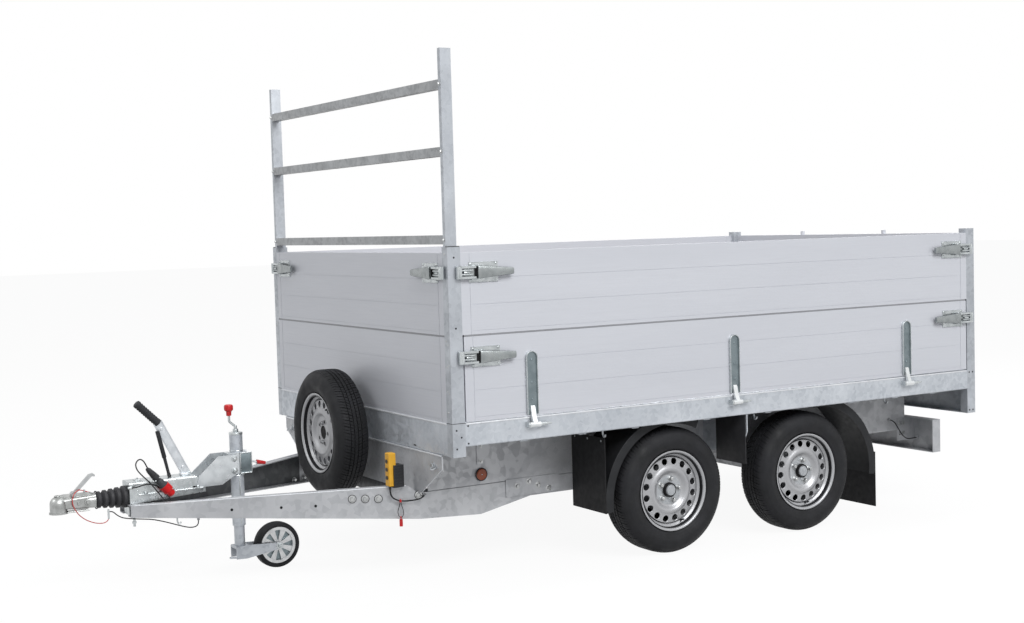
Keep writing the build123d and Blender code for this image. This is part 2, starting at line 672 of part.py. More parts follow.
def rim(with_drum=True):
    """Pressed steel wheel about the X axis, outboard side towards +x, joined to its hub drum."""
    half, seat, lip, t = RIM_HALF_W, RIM_SEAT_R, RIM_LIP_R, RIM_SHEET
    well = BARREL_R + t
    outer_line = [(-half, lip), (-BEAD_HALF_W, lip - 3), (-BEAD_HALF_W, seat), (-22, seat - 2),
                  (-12, well), (34, well), (46, seat - 2), (BEAD_HALF_W, seat),
                  (BEAD_HALF_W, lip - 3), (half, lip)]
    inner_line = [(x, r - t) for x, r in outer_line[2:-2]]
    inner_line = [(-half, lip - t)] + inner_line + [(half, lip - t)]
    barrel = revolve_y(ring_profile(outer_line + inner_line[::-1]))
    disc_back = [(x - t, r) for x, r in DISC_LINE]
    disc = revolve_y(ring_profile([*DISC_LINE, (DISC_LINE[-1][0], BARREL_R + 1), (DISC_LINE[-1][0] - t, BARREL_R + 1),
                                   *disc_back[::-1]]))
    for index in range(RIM_HOLES):
        turn = Rot(360 * index / RIM_HOLES, 0, 0)
        disc = disc - turn * Pos(35, 0, RIM_HOLE_PITCH_R) * Rot(0, 90, 0) * Cylinder(RIM_HOLE_R, 60)
    wheel = barrel + disc
    if not with_drum:
        for index in range(WHEEL_BOLTS):
            turn = Rot(360 * index / WHEEL_BOLTS, 0, 0)
            wheel = wheel - turn * Pos(HUB_FACE, 0, BOLT_PITCH_R) * Rot(0, 90, 0) * Cylinder(7, 30)
        return wheel
    drum = revolve_y(ring_profile([
        (DRUM_IN, DRUM_R), (DRUM_IN + 62, DRUM_R), (DRUM_IN + 62, 70), (HUB_FACE, 70), (HUB_FACE, CAP_R),
        (CAP_OUT - 6, CAP_R), (CAP_OUT, CAP_R - 6), (CAP_OUT, 0), (STUB_END + 1, 0),
        (STUB_END + 1, STUB_R + STUB_FIT), (DRUM_IN + 50, STUB_R + STUB_FIT), (DRUM_IN + 50, DRUM_R - 10),
        (DRUM_IN, DRUM_R - 10)]))
    wheel = wheel + drum
    for index in range(WHEEL_BOLTS):
        turn = Rot(360 * index / WHEEL_BOLTS, 0, 0)
        wheel = wheel + turn * Pos(HUB_FACE + 9, 0, BOLT_PITCH_R) * Rot(0, 90, 0) * Cylinder(9, 18)
    return wheel


def road_location(place, side):
    """Frame of a road wheel: its local +x points outboard."""
    return Location(Plane(origin=(aft(place), side * WHEEL_Y, WHEEL_R), x_dir=(0, side, 0),
                          z_dir=(0, 0, 1)))


# ---------------------------------------------------------------- axles
AXLE_TUBE = 80.0
AXLE_LEAD = 150.0         # axle tube ahead of the wheel centre
TUBE_END = WHEEL_Y - 173.0
ARM_OUT = WHEEL_Y - 137.0
BACKPLATE_T = 6.0
BACKPLATE_GAP = 6.0


def axles():
    """Rubber-torsion axles: square tube under the beams, trailing arms, backplates and stubs."""
    pieces = []
    tube_z = BEAM_BOTTOM - AXLE_TUBE / 2 - HEAVY_SHEET
    drum_face = WHEEL_Y + DRUM_IN
    for place in AXLE_PLACES:
        x_wheel, x_tube = aft(place), aft(place) + AXLE_LEAD
        tube = block((x_tube - AXLE_TUBE / 2, x_tube + AXLE_TUBE / 2), (-TUBE_END, TUBE_END),
                     (tube_z - AXLE_TUBE / 2, tube_z + AXLE_TUBE / 2))
        for side, _ in SIDES:
            pad = block((x_tube - 70, x_tube + 70), (side * (BEAM_OUT - BEAM_FLANGE), side * BEAM_OUT),
                        (BEAM_BOTTOM - HEAVY_SHEET, BEAM_BOTTOM))
            arm_face = Plane.XZ.offset(-side * TUBE_END) * make_hull(
                (Pos(x_tube, tube_z) * Circle(38)).edges() + (Pos(x_wheel, WHEEL_R) * Circle(32)).edges())
            arm = extrude(arm_face, ARM_OUT - TUBE_END, dir=(0, side, 0))
            plate_y = drum_face - BACKPLATE_GAP
            plate = rod((x_wheel, side * (plate_y - BACKPLATE_T), WHEEL_R), (x_wheel, side * plate_y, WHEEL_R),
                        DRUM_R)
            stub = rod((x_wheel, side * (ARM_OUT - 5), WHEEL_R), (x_wheel, side * (WHEEL_Y + STUB_END), WHEEL_R),
                       STUB_R)
            tube = tube + pad + arm + plate + stub
        pieces.append(tube)
    return pieces


# ---------------------------------------------------------------- mudguards
GUARD_R = 385.0
GUARD_T = 4.0
GUARD_LIP = 40.0
GUARD_DROP = 20.0         # guard's centre below the wheel's
GUARD_LOW_ANGLE = -7.0
GUARD_HIGH_ANGLES = (116.0, 96.0)   # front guard, rear guard
REAR_GUARD_SHIFT = 107.0
FLAP_SPANS = ((240.0, 600.0), (66.0, 358.0))   # low and top height of the front and rear flap


def sector(radius, high_angle):
    """Filled sector in (x, z) from the guard's low angle to a high angle."""
    low, high = radians(GUARD_LOW_ANGLE), radians(high_angle)
    middle = (low + high) / 2

    def on(angle, r):
        return (r * cos(angle), r * sin(angle))

    arc = ThreePointArc(on(low, radius), on(middle, radius), on(high, radius))
    return make_face(Wire([arc, Line(arc @ 1, (0, 0)), Line((0, 0), arc @ 0)]))


def quarter_guard(facing, high_angle):
    """Quarter mudguard about the origin, reaching towards facing along X, on the left side."""
    def carried(face, y_low, y_high):
        return extrude(Plane.XZ.offset(-y_low) * face, y_high - y_low, dir=(0, 1, 0))

    whole = sector(GUARD_R, high_angle)
    skin = carried(whole - sector(GUARD_R - GUARD_T, high_angle), BEAM_OUT, GUARD_OUT)
    lip = carried(whole - sector(GUARD_R - GUARD_LIP, high_angle), GUARD_OUT - GUARD_T, GUARD_OUT)
    guard = skin + lip
    return guard if facing > 0 else mirror(guard, Plane.YZ)


def guard_centre(index):
    shift = REAR_GUARD_SHIFT if index else 0.0
    return aft(AXLE_PLACES[index] + shift), WHEEL_R - GUARD_DROP


def mudguards():
    pieces = []
    for index, facing in ((0, 1), (1, -1)):
        x, z = guard_centre(index)
        pieces += both(Pos(x, 0, z) * quarter_guard(facing, GUARD_HIGH_ANGLES[index]))
    return pieces


def mud_flaps():
    pieces = []
    for index, facing in ((0, 1), (1, -1)):
        near = guard_centre(index)[0] + facing * GUARD_R
        pieces += both(block((near, near + facing * GUARD_T), (BEAM_OUT, GUARD_OUT), FLAP_SPANS[index]))
    return pieces


# ---------------------------------------------------------------- lights
LIGHT_BAR_X = BEAM_L + 18.0      # front edge behind the bed's front
LIGHT_BAR_D = 58.0
LIGHT_BAR_HALF = HALF_W - 157.0
LIGHT_BRACKET_LAP = 60.0
BAR_GLAND = (BEAM_OUT + 30.0, 350.0)     # lamp lead's gland on the bar's web: y and z
BAR_GLAND_L = 12.0
BAR_GLAND_R = 9.0
BRACKET_LOW = 340.0              # lower edge of the bar's brackets
LIGHT_BAR_Z = (288.0, 470.0)
LAMP_L = 200.0
LAMP_H = 110.0
LAMP_D = 40.0
MARKER_Z = 450.0          # side markers on the chassis beams
MARKER_R = 30.0
MARKER_T = 12.0


def light_bar():
    """Folded bumper bar on two brackets from the chassis beams' ends, its open side forward."""
    low, high = LIGHT_BAR_Z
    plane = Plane(origin=(aft(LIGHT_BAR_X + LIGHT_BAR_D), -LIGHT_BAR_HALF, low), x_dir=(1, 0, 0),
                  z_dir=(0, -1, 0))
    bar = extrude(plane * channel(LIGHT_BAR_D, high - low, SHEET), 2 * LIGHT_BAR_HALF, dir=(0, 1, 0))
    for side, _ in SIDES:
        cap = block((aft(LIGHT_BAR_X), aft(LIGHT_BAR_X + LIGHT_BAR_D)),
                    (side * LIGHT_BAR_HALF, side * (LIGHT_BAR_HALF - SHEET)), (low, high))
        plate = block((aft(BEAM_L - LIGHT_BRACKET_LAP), aft(LIGHT_BAR_X + LIGHT_BAR_D - SHEET)),
                      (side * BEAM_OUT, side * (BEAM_OUT + SHEET)), (BRACKET_LOW, high - SHEET))
        bar = bar + cap + plate
    web_x = aft(LIGHT_BAR_X + LIGHT_BAR_D - SHEET)
    gland_y, gland_z = BAR_GLAND
    return bar + rod((web_x - 2, gland_y, gland_z), (web_x + BAR_GLAND_L, gland_y, gland_z), BAR_GLAND_R)


def lamps():
    """Rear lamp clusters on the bar, and the side markers on the chassis beams."""
    low, high = LIGHT_BAR_Z
    back = aft(LIGHT_BAR_X + LIGHT_BAR_D)
    middle = (low + high) / 2
    cluster = block((back, back - LAMP_D), (LIGHT_BAR_HALF - 40 - LAMP_L, LIGHT_BAR_HALF - 40),
                    (middle - LAMP_H / 2, middle + LAMP_H / 2))
    marker = rod((aft(TAB_PLACE), BEAM_OUT, MARKER_Z), (aft(TAB_PLACE), BEAM_OUT + MARKER_T, MARKER_Z), MARKER_R)
    return both(cluster) + both(marker)


# ---------------------------------------------------------------- spare wheel
SPARE_Z = 627.0
SPARE_AHEAD = 124.0       # spare's middle plane ahead of the bed's front
CARRIER_HALF = 60.0


def spare_location():
    return Location(Plane(origin=(X_FRONT + SPARE_AHEAD, 0, SPARE_Z), x_dir=(1, 0, 0), z_dir=(0, 0, 1)))


def spare_carrier():
    """Stand-off from the front rail that the spare's disc is bolted to."""
    face = X_FRONT + SPARE_AHEAD + HUB_FACE
    arm = block((X_FRONT, face - 6), (-CARRIER_HALF, CARRIER_HALF), (SPARE_Z - 22, SPARE_Z + 22))
    plate = block((face - 6, face), (-CARRIER_HALF, CARRIER_HALF), (SPARE_Z - 60, SPARE_Z + 60))
    foot = block((X_FRONT, X_FRONT + 6), (-CARRIER_HALF, CARRIER_HALF), (SPARE_Z - 24, SPARE_Z + 60))
    return arm + plate + foot


# ---------------------------------------------------------------- coupling
COUPLING_Z = 428.0
BALL_R = 25.25
CUP_R = 38.0
CUP_LOW = 386.0
BALL_Z = 408.0
CUP_LIP_R = 42.0
CUP_LIP_H = 7.0
CUP_AHEAD = NOSE_REACH - CUP_LIP_R
DRAW_TUBE_R = 25.0
BELLOWS = (DRAWBAR_REACH - 7.0, DRAWBAR_REACH + 136.0)     # ahead of the bed's front
BELLOWS_RIBS = 5
HOUSING = (DRAWBAR_REACH - 364.0, DRAWBAR_REACH + 17.0)
HOUSING_HALF = 56.0
HOUSING_ROUND = 10.0
HOUSING_TOP = 497.0
DRAWBAR_FRONT_TOP = DRAWBAR_TOP_LINE[0][1]


NECK_REAR = (54.0, 62.0)         # width and height of the coupling's neck
NECK_FRONT = (60.0, 46.0)
NECK_ROUND = 12.0
COLLAR_R = 31.0
COLLAR_L = 40.0
EYELET_END = (DRAWBAR_REACH + 162.0, 0.0, 467.0)      # where the breakaway cable meets its eyelet
EYELET_FOOT = (DRAWBAR_REACH + 142.3, -4.4, 458.2)
EYELET_R = 3.5


def coupling_head():
    """Cast ball coupling: domed cup with its lip, tapered neck, collar and the draw tube."""
    x_cup = ahead(CUP_AHEAD)
    cup = Pos(x_cup, 0, (CUP_LOW + COUPLING_Z) / 2) * Cylinder(CUP_R, COUPLING_Z - CUP_LOW)
    lip = Pos(x_cup, 0, CUP_LOW + CUP_LIP_H / 2) * Cylinder(CUP_LIP_R, CUP_LIP_H)
    dome = (Pos(x_cup, 0, COUPLING_Z) * Sphere(CUP_R)) & block(
        (x_cup - CUP_R, x_cup + CUP_R), (-CUP_R, CUP_R), (COUPLING_Z, COUPLING_Z + CUP_R))
    neck_start = BELLOWS[1] + 1
    sections = []
    for x, size in ((ahead(neck_start), NECK_REAR), (x_cup, NECK_FRONT)):
        sections.append(Plane.YZ.offset(x) * Pos(0, COUPLING_Z) * RectangleRounded(*size, NECK_ROUND))
    neck = loft(sections, ruled=True)
    collar = rod((ahead(neck_start), 0, COUPLING_Z), (ahead(neck_start + COLLAR_L), 0, COUPLING_Z), COLLAR_R)
    tube = rod((ahead(HOUSING[1] - 60), 0, COUPLING_Z), (ahead(BELLOWS[1] + 10), 0, COUPLING_Z), DRAW_TUBE_R)
    eyelet = rod(at(EYELET_FOOT), at(EYELET_END), EYELET_R)
    ball = Pos(x_cup, 0, BALL_Z) * Sphere(BALL_R)
    throat = Pos(x_cup, 0, (CUP_LOW - 1 + BALL_Z) / 2) * Cylinder(BALL_R, BALL_Z - CUP_LOW + 1)
    return cup + lip + dome + neck + collar + tube + eyelet - ball - throat


def bellows():
    """Ribbed rubber boot around the draw tube, widening towards the housing."""
    start, end = BELLOWS
    pitch = (end - start) / BELLOWS_RIBS
    points = [(0, DRAW_TUBE_R + 0.3)]
    for index in range(BELLOWS_RIBS):
        crest = 50.0 - 3.0 * index
        x = index * pitch
        points += [(x, crest - 10), (x + pitch * 0.3, crest), (x + pitch * 0.7, crest), (x + pitch, crest - 12)]
    points += [(end - start, DRAW_TUBE_R + 0.3)]
    boot = revolve(make_face(Polyline(*points, close=True)), axis=Axis.X)
    return Pos(ahead(start), 0, COUPLING_Z) * boot


KEYHOLE = (DRAWBAR_REACH - 309.0, 441.0)     # slot in the housing's sides: ahead of the bed's front, z
KEYHOLE_R = 8.0
KEYHOLE_TAIL = 22.0              # length of the slot behind its round end
KEYHOLE_D = 8.0
APRON_HALF = 40.0
APRON_T = 7.0
APRON_LOW = 345.0
APRON_L = 64.0
STAY_BOLT_LOW = 285.0
PARK_BOSS = (DRAWBAR_REACH - 159.2, 469.1)   # boss that holds the parked plug: ahead, z
PARK_BOSS_R = 7.0
PARK_BOSS_END = 65.7
LEAD_BOSS = ((DRAWBAR_REACH - 4.0, 50.0, 472.0), (DRAWBAR_REACH - 18.0, 64.0, 474.0))
LEAD_BOSS_R = 6.0
STAY_BOLT_R = 6.0
STAY_NUT = (10.0, 10.0)          # corner radius and height
STAY_NUT_LIFT = 14.0             # nut above the bolt's end


def overrun_housing():
    """Housing of the overrun device on the drawbar's flanges, with its apron between the beams' ends."""
    rear = HOUSING[0]
    collar_x = BELLOWS[0]
    seat = DRAWBAR_FRONT_TOP + 2
    body = prism_y([(ahead(rear), DRAWBAR_FRONT_TOP + 20), (ahead(rear), HOUSING_TOP - 30),
                    (ahead(rear + 50), HOUSING_TOP), (ahead(collar_x), HOUSING_TOP),
                    (ahead(collar_x), seat), (ahead(collar_x - 40), seat)],
                   -HOUSING_HALF, HOUSING_HALF)
    top_edges = body.edges().filter_by(Axis.X).group_by(Axis.Z)[-1]
    body = fillet(top_edges, HOUSING_ROUND)
    key_x, key_z = ahead(KEYHOLE[0]), KEYHOLE[1]
    for side, _ in SIDES:
        depth = (side * (HOUSING_HALF - KEYHOLE_D), side * (HOUSING_HALF + 1))
        hole = rod((key_x, depth[0], key_z), (key_x, depth[1], key_z), KEYHOLE_R)
        slot = block((key_x - KEYHOLE_TAIL, key_x), depth, (key_z - KEYHOLE_R / 2, key_z + KEYHOLE_R / 2))
        body = body - hole - slot
    apron_x = ahead(collar_x)
    apron = block((apron_x - APRON_T, apron_x), (-APRON_HALF, APRON_HALF), (APRON_LOW, seat + 1))
    web = block((apron_x - APRON_L, apron_x), (-APRON_T / 2, APRON_T / 2), (APRON_LOW, seat + 1))
    foot = block((apron_x - APRON_L, apron_x), (-APRON_HALF, APRON_HALF), (APRON_LOW, APRON_LOW + APRON_T))
    bolt_x = apron_x - APRON_L / 2
    bolt = rod((bolt_x, 0, STAY_BOLT_LOW), (bolt_x, 0, APRON_LOW + 1), STAY_BOLT_R)
    nut_r, nut_h = STAY_NUT
    nut = Pos(bolt_x, 0, STAY_BOLT_LOW + STAY_NUT_LIFT) * extrude(RegularPolygon(nut_r, 6), nut_h)
    boss_x, boss_z = ahead(PARK_BOSS[0]), PARK_BOSS[1]
    boss = rod((boss_x, HOUSING_HALF - 1, boss_z), (boss_x, PARK_BOSS_END, boss_z), PARK_BOSS_R)
    lead_boss = rod(at(LEAD_BOSS[0]), at(LEAD_BOSS[1]), LEAD_BOSS_R)
    bore = rod((ahead(rear + 180), 0, COUPLING_Z), (ahead(HOUSING[1]), 0, COUPLING_Z), DRAW_TUBE_R + 0.3)
    return body + apron + web + foot + bolt + nut + boss + lead_boss - bore


HANDLE_BASE_BACK = 67.0          # coupling handle's pivot and tip behind the cup
HANDLE_TIP_BACK = 150.0
HANDLE_BASE_Z = COUPLING_Z + 38.6
HANDLE_TIP_Z = 548.0
HANDLE_W = 16.0
HANDLE_PIVOT = (12.0, 36.0)      # radius and length
# lever's outline, along X and up: two corners from its pivot, five from its tip
HANDLE_ROOT = ((10, 0), (-6, -4))
HANDLE_HOOK = ((12, 0), (-6, 4), (-16, -4), (-14, -12), (-2, -9))


def coupling_handle():
    """Flat lever on its pivot, its tip bent back."""
    base_x, tip_x = ahead(CUP_AHEAD - HANDLE_BASE_BACK), ahead(CUP_AHEAD - HANDLE_TIP_BACK)
    front, back = [(base_x + x, HANDLE_BASE_Z + z) for x, z in HANDLE_ROOT]
    hook = [(tip_x + x, HANDLE_TIP_Z + z) for x, z in HANDLE_HOOK]
    lever = prism_y([front, *hook, back], -HANDLE_W / 2, HANDLE_W / 2)
    radius, length = HANDLE_PIVOT
    return lever + rod((base_x, -length / 2, HANDLE_BASE_Z), (base_x, length / 2, HANDLE_BASE_Z), radius)


# ---------------------------------------------------------------- handbrake
LEVER_BASE = (DRAWBAR_REACH - 302.0, 480.0)
LEVER_KNEE = (DRAWBAR_REACH - 166.0, 752.0)
GRIP_TIP = (DRAWBAR_REACH - 68.0, 850.0)
GRIP_R = 19.0
GRIP_LAP = 6.0            # grip pushed over the lever's end
LEVER_FOOT = (90.0, 20.0, 18.0)
LEVER_W = 42.0
LEVER_T = 14.0
LEVER_Y = 0.0
STRUT_R = 10.0
# gas strut from the lever to the housing: behind the drawbar's front end, height
STRUT_LINE = ((158.0, 715.0), (186.0, 590.0), (206.0, HOUSING_TOP + 2))


def handbrake_lever():
    """Lever blade on the housing, its plastic grip pushed over the bent end."""
    (bx, bz), (kx, kz), (tx, tz) = LEVER_BASE, LEVER_KNEE, GRIP_TIP
    lean = atan2(kz - bz, kx - bx)
    length = hypot(kx - bx, kz - bz)
    blade = Pos(ahead((bx + kx) / 2), LEVER_Y, (bz + kz) / 2) * Rot(0, -degrees(lean), 0) * Box(
        length, LEVER_T, LEVER_W)
    grip = rod((ahead(kx - GRIP_LAP), LEVER_Y, kz - GRIP_LAP / 3), (ahead(tx), LEVER_Y, tz), GRIP_R)
    foot_l, foot_w, foot_h = LEVER_FOOT
    foot = block((ahead(bx - 10), ahead(bx - 10 + foot_l)), (LEVER_Y - foot_w / 2, LEVER_Y + foot_w / 2),
                 (HOUSING_TOP, HOUSING_TOP + foot_h))
    above = block((ahead(bx - foot_l), ahead(tx + foot_l)), (-foot_l, foot_l), (HOUSING_TOP, tz + foot_l))
    return (blade + grip + foot) & above


def gas_strut():
    y = LEVER_Y + LEVER_T / 2 + STRUT_R
    top, middle, low = [(ahead(DRAWBAR_REACH - back), y, z) for back, z in STRUT_LINE]
    return rod(top, middle, STRUT_R) + rod(middle, low, STRUT_R / 2)


# ---------------------------------------------------------------- jockey wheel
JOCKEY_AHEAD = DRAWBAR_REACH - 540.0
JOCKEY_TUBE_R = 31.0
JOCKEY_INNER_R = 25.0
JOCKEY_TUBE_Z = (228.0, 672.0)
JOCKEY_TRAIL = 184.0
JOCKEY_R = 110.0
JOCKEY_W = 60.0
JOCKEY_FIT = 0.4
FORK_T = 5.0
FORK_GAP = 6.0
AXLE_PIN_R = 8.0
JOCKEY_SPOKES = 8
JOCKEY_RING = 26.0                # radial depth of the rubber tread
JOCKEY_HUB_R = 24.0
JOCKEY_WEB_HALF = 7.0
WINDOW_ENDS = ((40.0, 8.0), (64.0, 14.0))     # distance from the middle and radius of each end


def jockey_tube():
    """Outer tube with its cap and winding spindle."""
    x = ahead(JOCKEY_AHEAD)
    low, high = JOCKEY_TUBE_Z
    tube = Pos(x, 0, (low + high) / 2) * Cylinder(JOCKEY_TUBE_R, high - low)
    hollow = Pos(x, 0, (low + high) / 2 - 20) * Cylinder(JOCKEY_INNER_R + JOCKEY_FIT, high - low)
    return tube - hollow


SPINDLE = (9.0, 28.0)             # radius and height above the tube
CRANK_R = 6.0
CRANK_OUT = 30.0                  # knob's middle ahead of the tube's
CRANK_RISE = (22.0, 52.0)         # ends of the crank's slanting arm above the tube's top
KNOB_LINE = ((80.0, 12.0), (104.0, 21.0), (134.0, 20.0))     # height above the tube's top, radius


def jockey_crank():
    """Cranked winding handle with its knob."""
    x, top = ahead(JOCKEY_AHEAD), JOCKEY_TUBE_Z[1]
    knob_x = x + CRANK_OUT
    spindle = rod((x, 0, top), (x, 0, top + SPINDLE[1]), SPINDLE[0])
    low, high = [top + rise for rise in CRANK_RISE]
    arm = rod((x, 0, low), (knob_x, 0, high), CRANK_R)
    crank = spindle + arm + rod((knob_x, 0, high - CRANK_R), (knob_x, 0, top + KNOB_LINE[0][0] + 4), CRANK_R)
    for (start, radius), (end, end_radius) in zip(KNOB_LINE, KNOB_LINE[1:]):
        crank = crank + rod((knob_x, 0, top + start), (knob_x, 0, top + end), radius, end_radius)
    return crank


CLAMP_Z = (478.0, 578.0)
CLAMP_WALL = 7.0
CLAMP_ARM_T = 5.0
CLAMP_TRIM = 8.0                  # jaw and bridge below the clamp's edges
JAW_L = 62.0                      # jaw behind the tube's middle
JAW_HALF = 16.0
JAW_BACK_T = 6.0
BRIDGE_SPAN = (20.0, 46.0)        # bridge ahead of the tube's middle
ARM_TAIL_Z = 440.0                # lower edge of the side arms on the housing
CLAMP_PIN = (5.0, 100.0)          # radius, and end behind the tube's middle
CLAMP_GRIP = ((98.0, 11.0), (142.0, 8.0))     # ends behind the tube's middle, radius
CLAMP_DROOP = 0.22                # fall of pin and grip for their length


def jockey_clamp():
    """Bracket on the housing's tail that holds a split collar around the tube."""
    x = ahead(JOCKEY_AHEAD)
    low, high = CLAMP_Z
    half = HOUSING_HALF + CLAMP_ARM_T
    middle, height = (low + high) / 2, high - low
    trimmed = (low + CLAMP_TRIM, high - CLAMP_TRIM)
    collar = Pos(x, 0, middle) * Cylinder(JOCKEY_TUBE_R + CLAMP_WALL, height)
    clamp = collar + block((x - JAW_L, x), (-JAW_HALF, JAW_HALF), trimmed)
    clamp = clamp + block((x - JAW_L, x - JAW_L + JAW_BACK_T), (-JOCKEY_TUBE_R, JOCKEY_TUBE_R), trimmed)
    edge = CLAMP_TRIM / 2
    clamp = clamp + block([x + end for end in BRIDGE_SPAN], (-half, half), (low + edge, high - edge))
    tail = ahead(HOUSING[0])
    outline = [(x + 24, high - edge), (x + 24, low + edge), (x + 96, ARM_TAIL_Z), (tail + 46, ARM_TAIL_Z),
               (tail + 30, HOUSING_TOP - 6), (x + 110, high - edge)]
    cheek = JOCKEY_TUBE_R + CLAMP_WALL
    for side, _ in SIDES:
        clamp = clamp + block((x - JAW_L, x), (side * (cheek - 5), side * cheek), (low, high))
        y_low, y_high = sorted((side * HOUSING_HALF, side * half))
        clamp = clamp + prism_y(outline, y_low, y_high)
    clamp = clamp - Pos(x, 0, middle) * Cylinder(JOCKEY_TUBE_R, height + 10)

    def behind(distance):
        return (x - distance, 0, middle - CLAMP_DROOP * max(0.0, distance - JAW_L))

    radius, end = CLAMP_PIN
    (grip_start, start_r), (grip_end, end_r) = CLAMP_GRIP
    return clamp + rod(behind(JAW_L - 2), behind(end), radius) + rod(
        behind(grip_start), behind(grip_end), start_r, end_r)


FORK_PLATE_Z = (120.0, 132.0)
FORK_PLATE_X = (-34.0, 32.0)      # from the tube's middle
INNER_TOP = 420.0
FOOT_LEVER = ((26.0, 80.0), (66.0, 84.0))     # ends: ahead of the tube's middle, height
FOOT_LEVER_R = 5.0
FORK_NOSE = 14.0                  # fork plates round the axle pin


def jockey_fork():
    """Inner tube and the fork plates that trail the wheel."""
    x = ahead(JOCKEY_AHEAD)
    hub_x = x - JOCKEY_TRAIL
    inner = rod((x, 0, FORK_PLATE_Z[0]), (x, 0, INNER_TOP), JOCKEY_INNER_R)
    cheek = JOCKEY_W / 2 + FORK_GAP
    front = x + FORK_PLATE_X[1]
    outline = [(front, 128), (front, 72), (x - 20, 70), (hub_x - FORK_NOSE, JOCKEY_R - FORK_NOSE),
               (hub_x - FORK_NOSE - 6, JOCKEY_R), (hub_x - FORK_NOSE, JOCKEY_R + FORK_NOSE), (x - 20, 134)]
    fork = inner + block([x + end for end in FORK_PLATE_X], (-cheek, cheek), FORK_PLATE_Z)
    for side, _ in SIDES:
        y_low, y_high = sorted((side * cheek, side * (cheek + FORK_T)))
        fork = fork + prism_y(outline, y_low, y_high)
    lever_start, lever_end = [(x + forward, cheek + FORK_T / 2, z) for forward, z in FOOT_LEVER]
    reach = cheek + FORK_T
    pin = rod((hub_x, -reach, JOCKEY_R), (hub_x, reach, JOCKEY_R), AXLE_PIN_R)
    return fork + rod(lever_start, lever_end, FOOT_LEVER_R) + pin


def jockey_wheel():
    """Spoked wheel with a rubber tread about the Y axis."""
    half = JOCKEY_W / 2
    ring = JOCKEY_R - JOCKEY_RING
    profile = [(-half, ring), (-half + 4, JOCKEY_R - 8), (-half + 14, JOCKEY_R), (half - 14, JOCKEY_R),
               (half - 4, JOCKEY_R - 8), (half, ring)]
    tread = revolve_y(ring_profile(profile))
    web_half, web_in, web_out = JOCKEY_WEB_HALF, JOCKEY_HUB_R - 2, ring + 1
    web = revolve_y(ring_profile([(-web_half, web_in), (-web_half, web_out), (web_half, web_out),
                                  (web_half, web_in)]))
    bore = AXLE_PIN_R + PIN_FIT
    hub = revolve_y(ring_profile([(-half, bore), (-half, JOCKEY_HUB_R), (half, JOCKEY_HUB_R), (half, bore)]))
    ends = [(Pos(0, distance) * Circle(radius)).edges() for distance, radius in WINDOW_ENDS]
    opening = Plane.YZ * make_hull(ends[0] + ends[1])
    window = extrude(opening, half, both=True)
    wheel = tread + web + hub
    for index in range(JOCKEY_SPOKES):
        turn = Rot(360 * index / JOCKEY_SPOKES, 0, 0)
        wheel = wheel - turn * window
    place = Location(Plane(origin=(ahead(JOCKEY_AHEAD - JOCKEY_TRAIL), 0, JOCKEY_R), x_dir=(0, 1, 0),
                           z_dir=(0, 0, 1)))
    return place * wheel


# ---------------------------------------------------------------- control pendant and its holder
HOLDER = ((63.0, 113.0), (BEAM_OUT - 75.0, BEAM_OUT - 15.0))     # ahead of the bed's front, and y
HOLDER_TOP = 537.0
HOLDER_SEAT_GAP = 0.3
HOLDER_WALL = 7.0
HOLDER_RIBS = 7
PENDANT_X = (97.0, 133.0)
PENDANT_Z = (442.0, 593.0)
PENDANT_FIT = 0.3
PENDANT_GLAND = (121.0, BEAM_OUT - 45.0, 425.0)
PENDANT_BUTTONS = 3


def drawbar_top(distance):
    """Height of the drawbars' top face at a distance ahead of the bed's front."""
    (x_front, z_front), (x_rear, z_rear) = DRAWBAR_TOP_LINE[:2]
    return z_rear + (z_front - z_rear) * (distance - x_rear) / (x_front - x_rear)


def pendant_body(grow):
    """The pendant's housing, or its outline grown by a clearance."""
    (y_low, y_high) = HOLDER[1]
    y = (y_low + HOLDER_WALL + PENDANT_FIT - grow, y_high - HOLDER_WALL - PENDANT_FIT + grow)
    x = (ahead(PENDANT_X[0] - grow), ahead(PENDANT_X[1] + grow))
    body = block(x, y, (PENDANT_Z[0] - grow, PENDANT_Z[1] + grow))
    return fillet(body.edges().filter_by(Axis.Z), 6)


def pendant():
    """Hand pendant with its push buttons and cable gland."""
    face, middle_y = ahead(PENDANT_X[1]), sum(HOLDER[1]) / 2
    body = pendant_body(0)
    body = chamfer(body.faces().sort_by(Axis.Z)[-1].edges(), 3)
    pitch = (PENDANT_Z[1] - PENDANT_Z[0]) / (PENDANT_BUTTONS + 1)
    for index in range(PENDANT_BUTTONS):
        z = PENDANT_Z[0] + pitch * (index + 1)
        body = body + rod((face - 1, middle_y, z), (face + 4, middle_y, z), 9)
    x, y, z = at(PENDANT_GLAND)
    return body + rod((x, y, z), (x, y, PENDANT_Z[0] + 1), 6)


def pendant_holder():
    """Ribbed cradle on the left drawbar's top face, open to the front and the top."""
    (near, far), y = HOLDER
    outline = [(ahead(near), drawbar_top(near) + HOLDER_SEAT_GAP), (ahead(far), drawbar_top(far) + HOLDER_SEAT_GAP),
               (ahead(far), HOLDER_TOP), (ahead(near), HOLDER_TOP)]
    cradle = prism_y(outline, *y)
    pitch = (HOLDER_TOP - PENDANT_Z[0]) / HOLDER_RIBS
    for index in range(HOLDER_RIBS):
        z = PENDANT_Z[0] + pitch * (index + 0.5)
        for wall in (y[0] - 1, y[0] + 2), (y[1] - 2, y[1] + 1):
            cradle = cradle - block((ahead(near + 6), ahead(far - 6)), wall, (z - pitch / 4, z + pitch / 4))
    pocket = pendant_body(PENDANT_FIT)
    pocket_front = block((ahead(PENDANT_X[0] + 7), ahead(far + 1)), (y[0] + HOLDER_WALL, y[1] - HOLDER_WALL),
                         (PENDANT_Z[0] - PENDANT_FIT, HOLDER_TOP + 1))
    return cradle - pocket - pocket_front


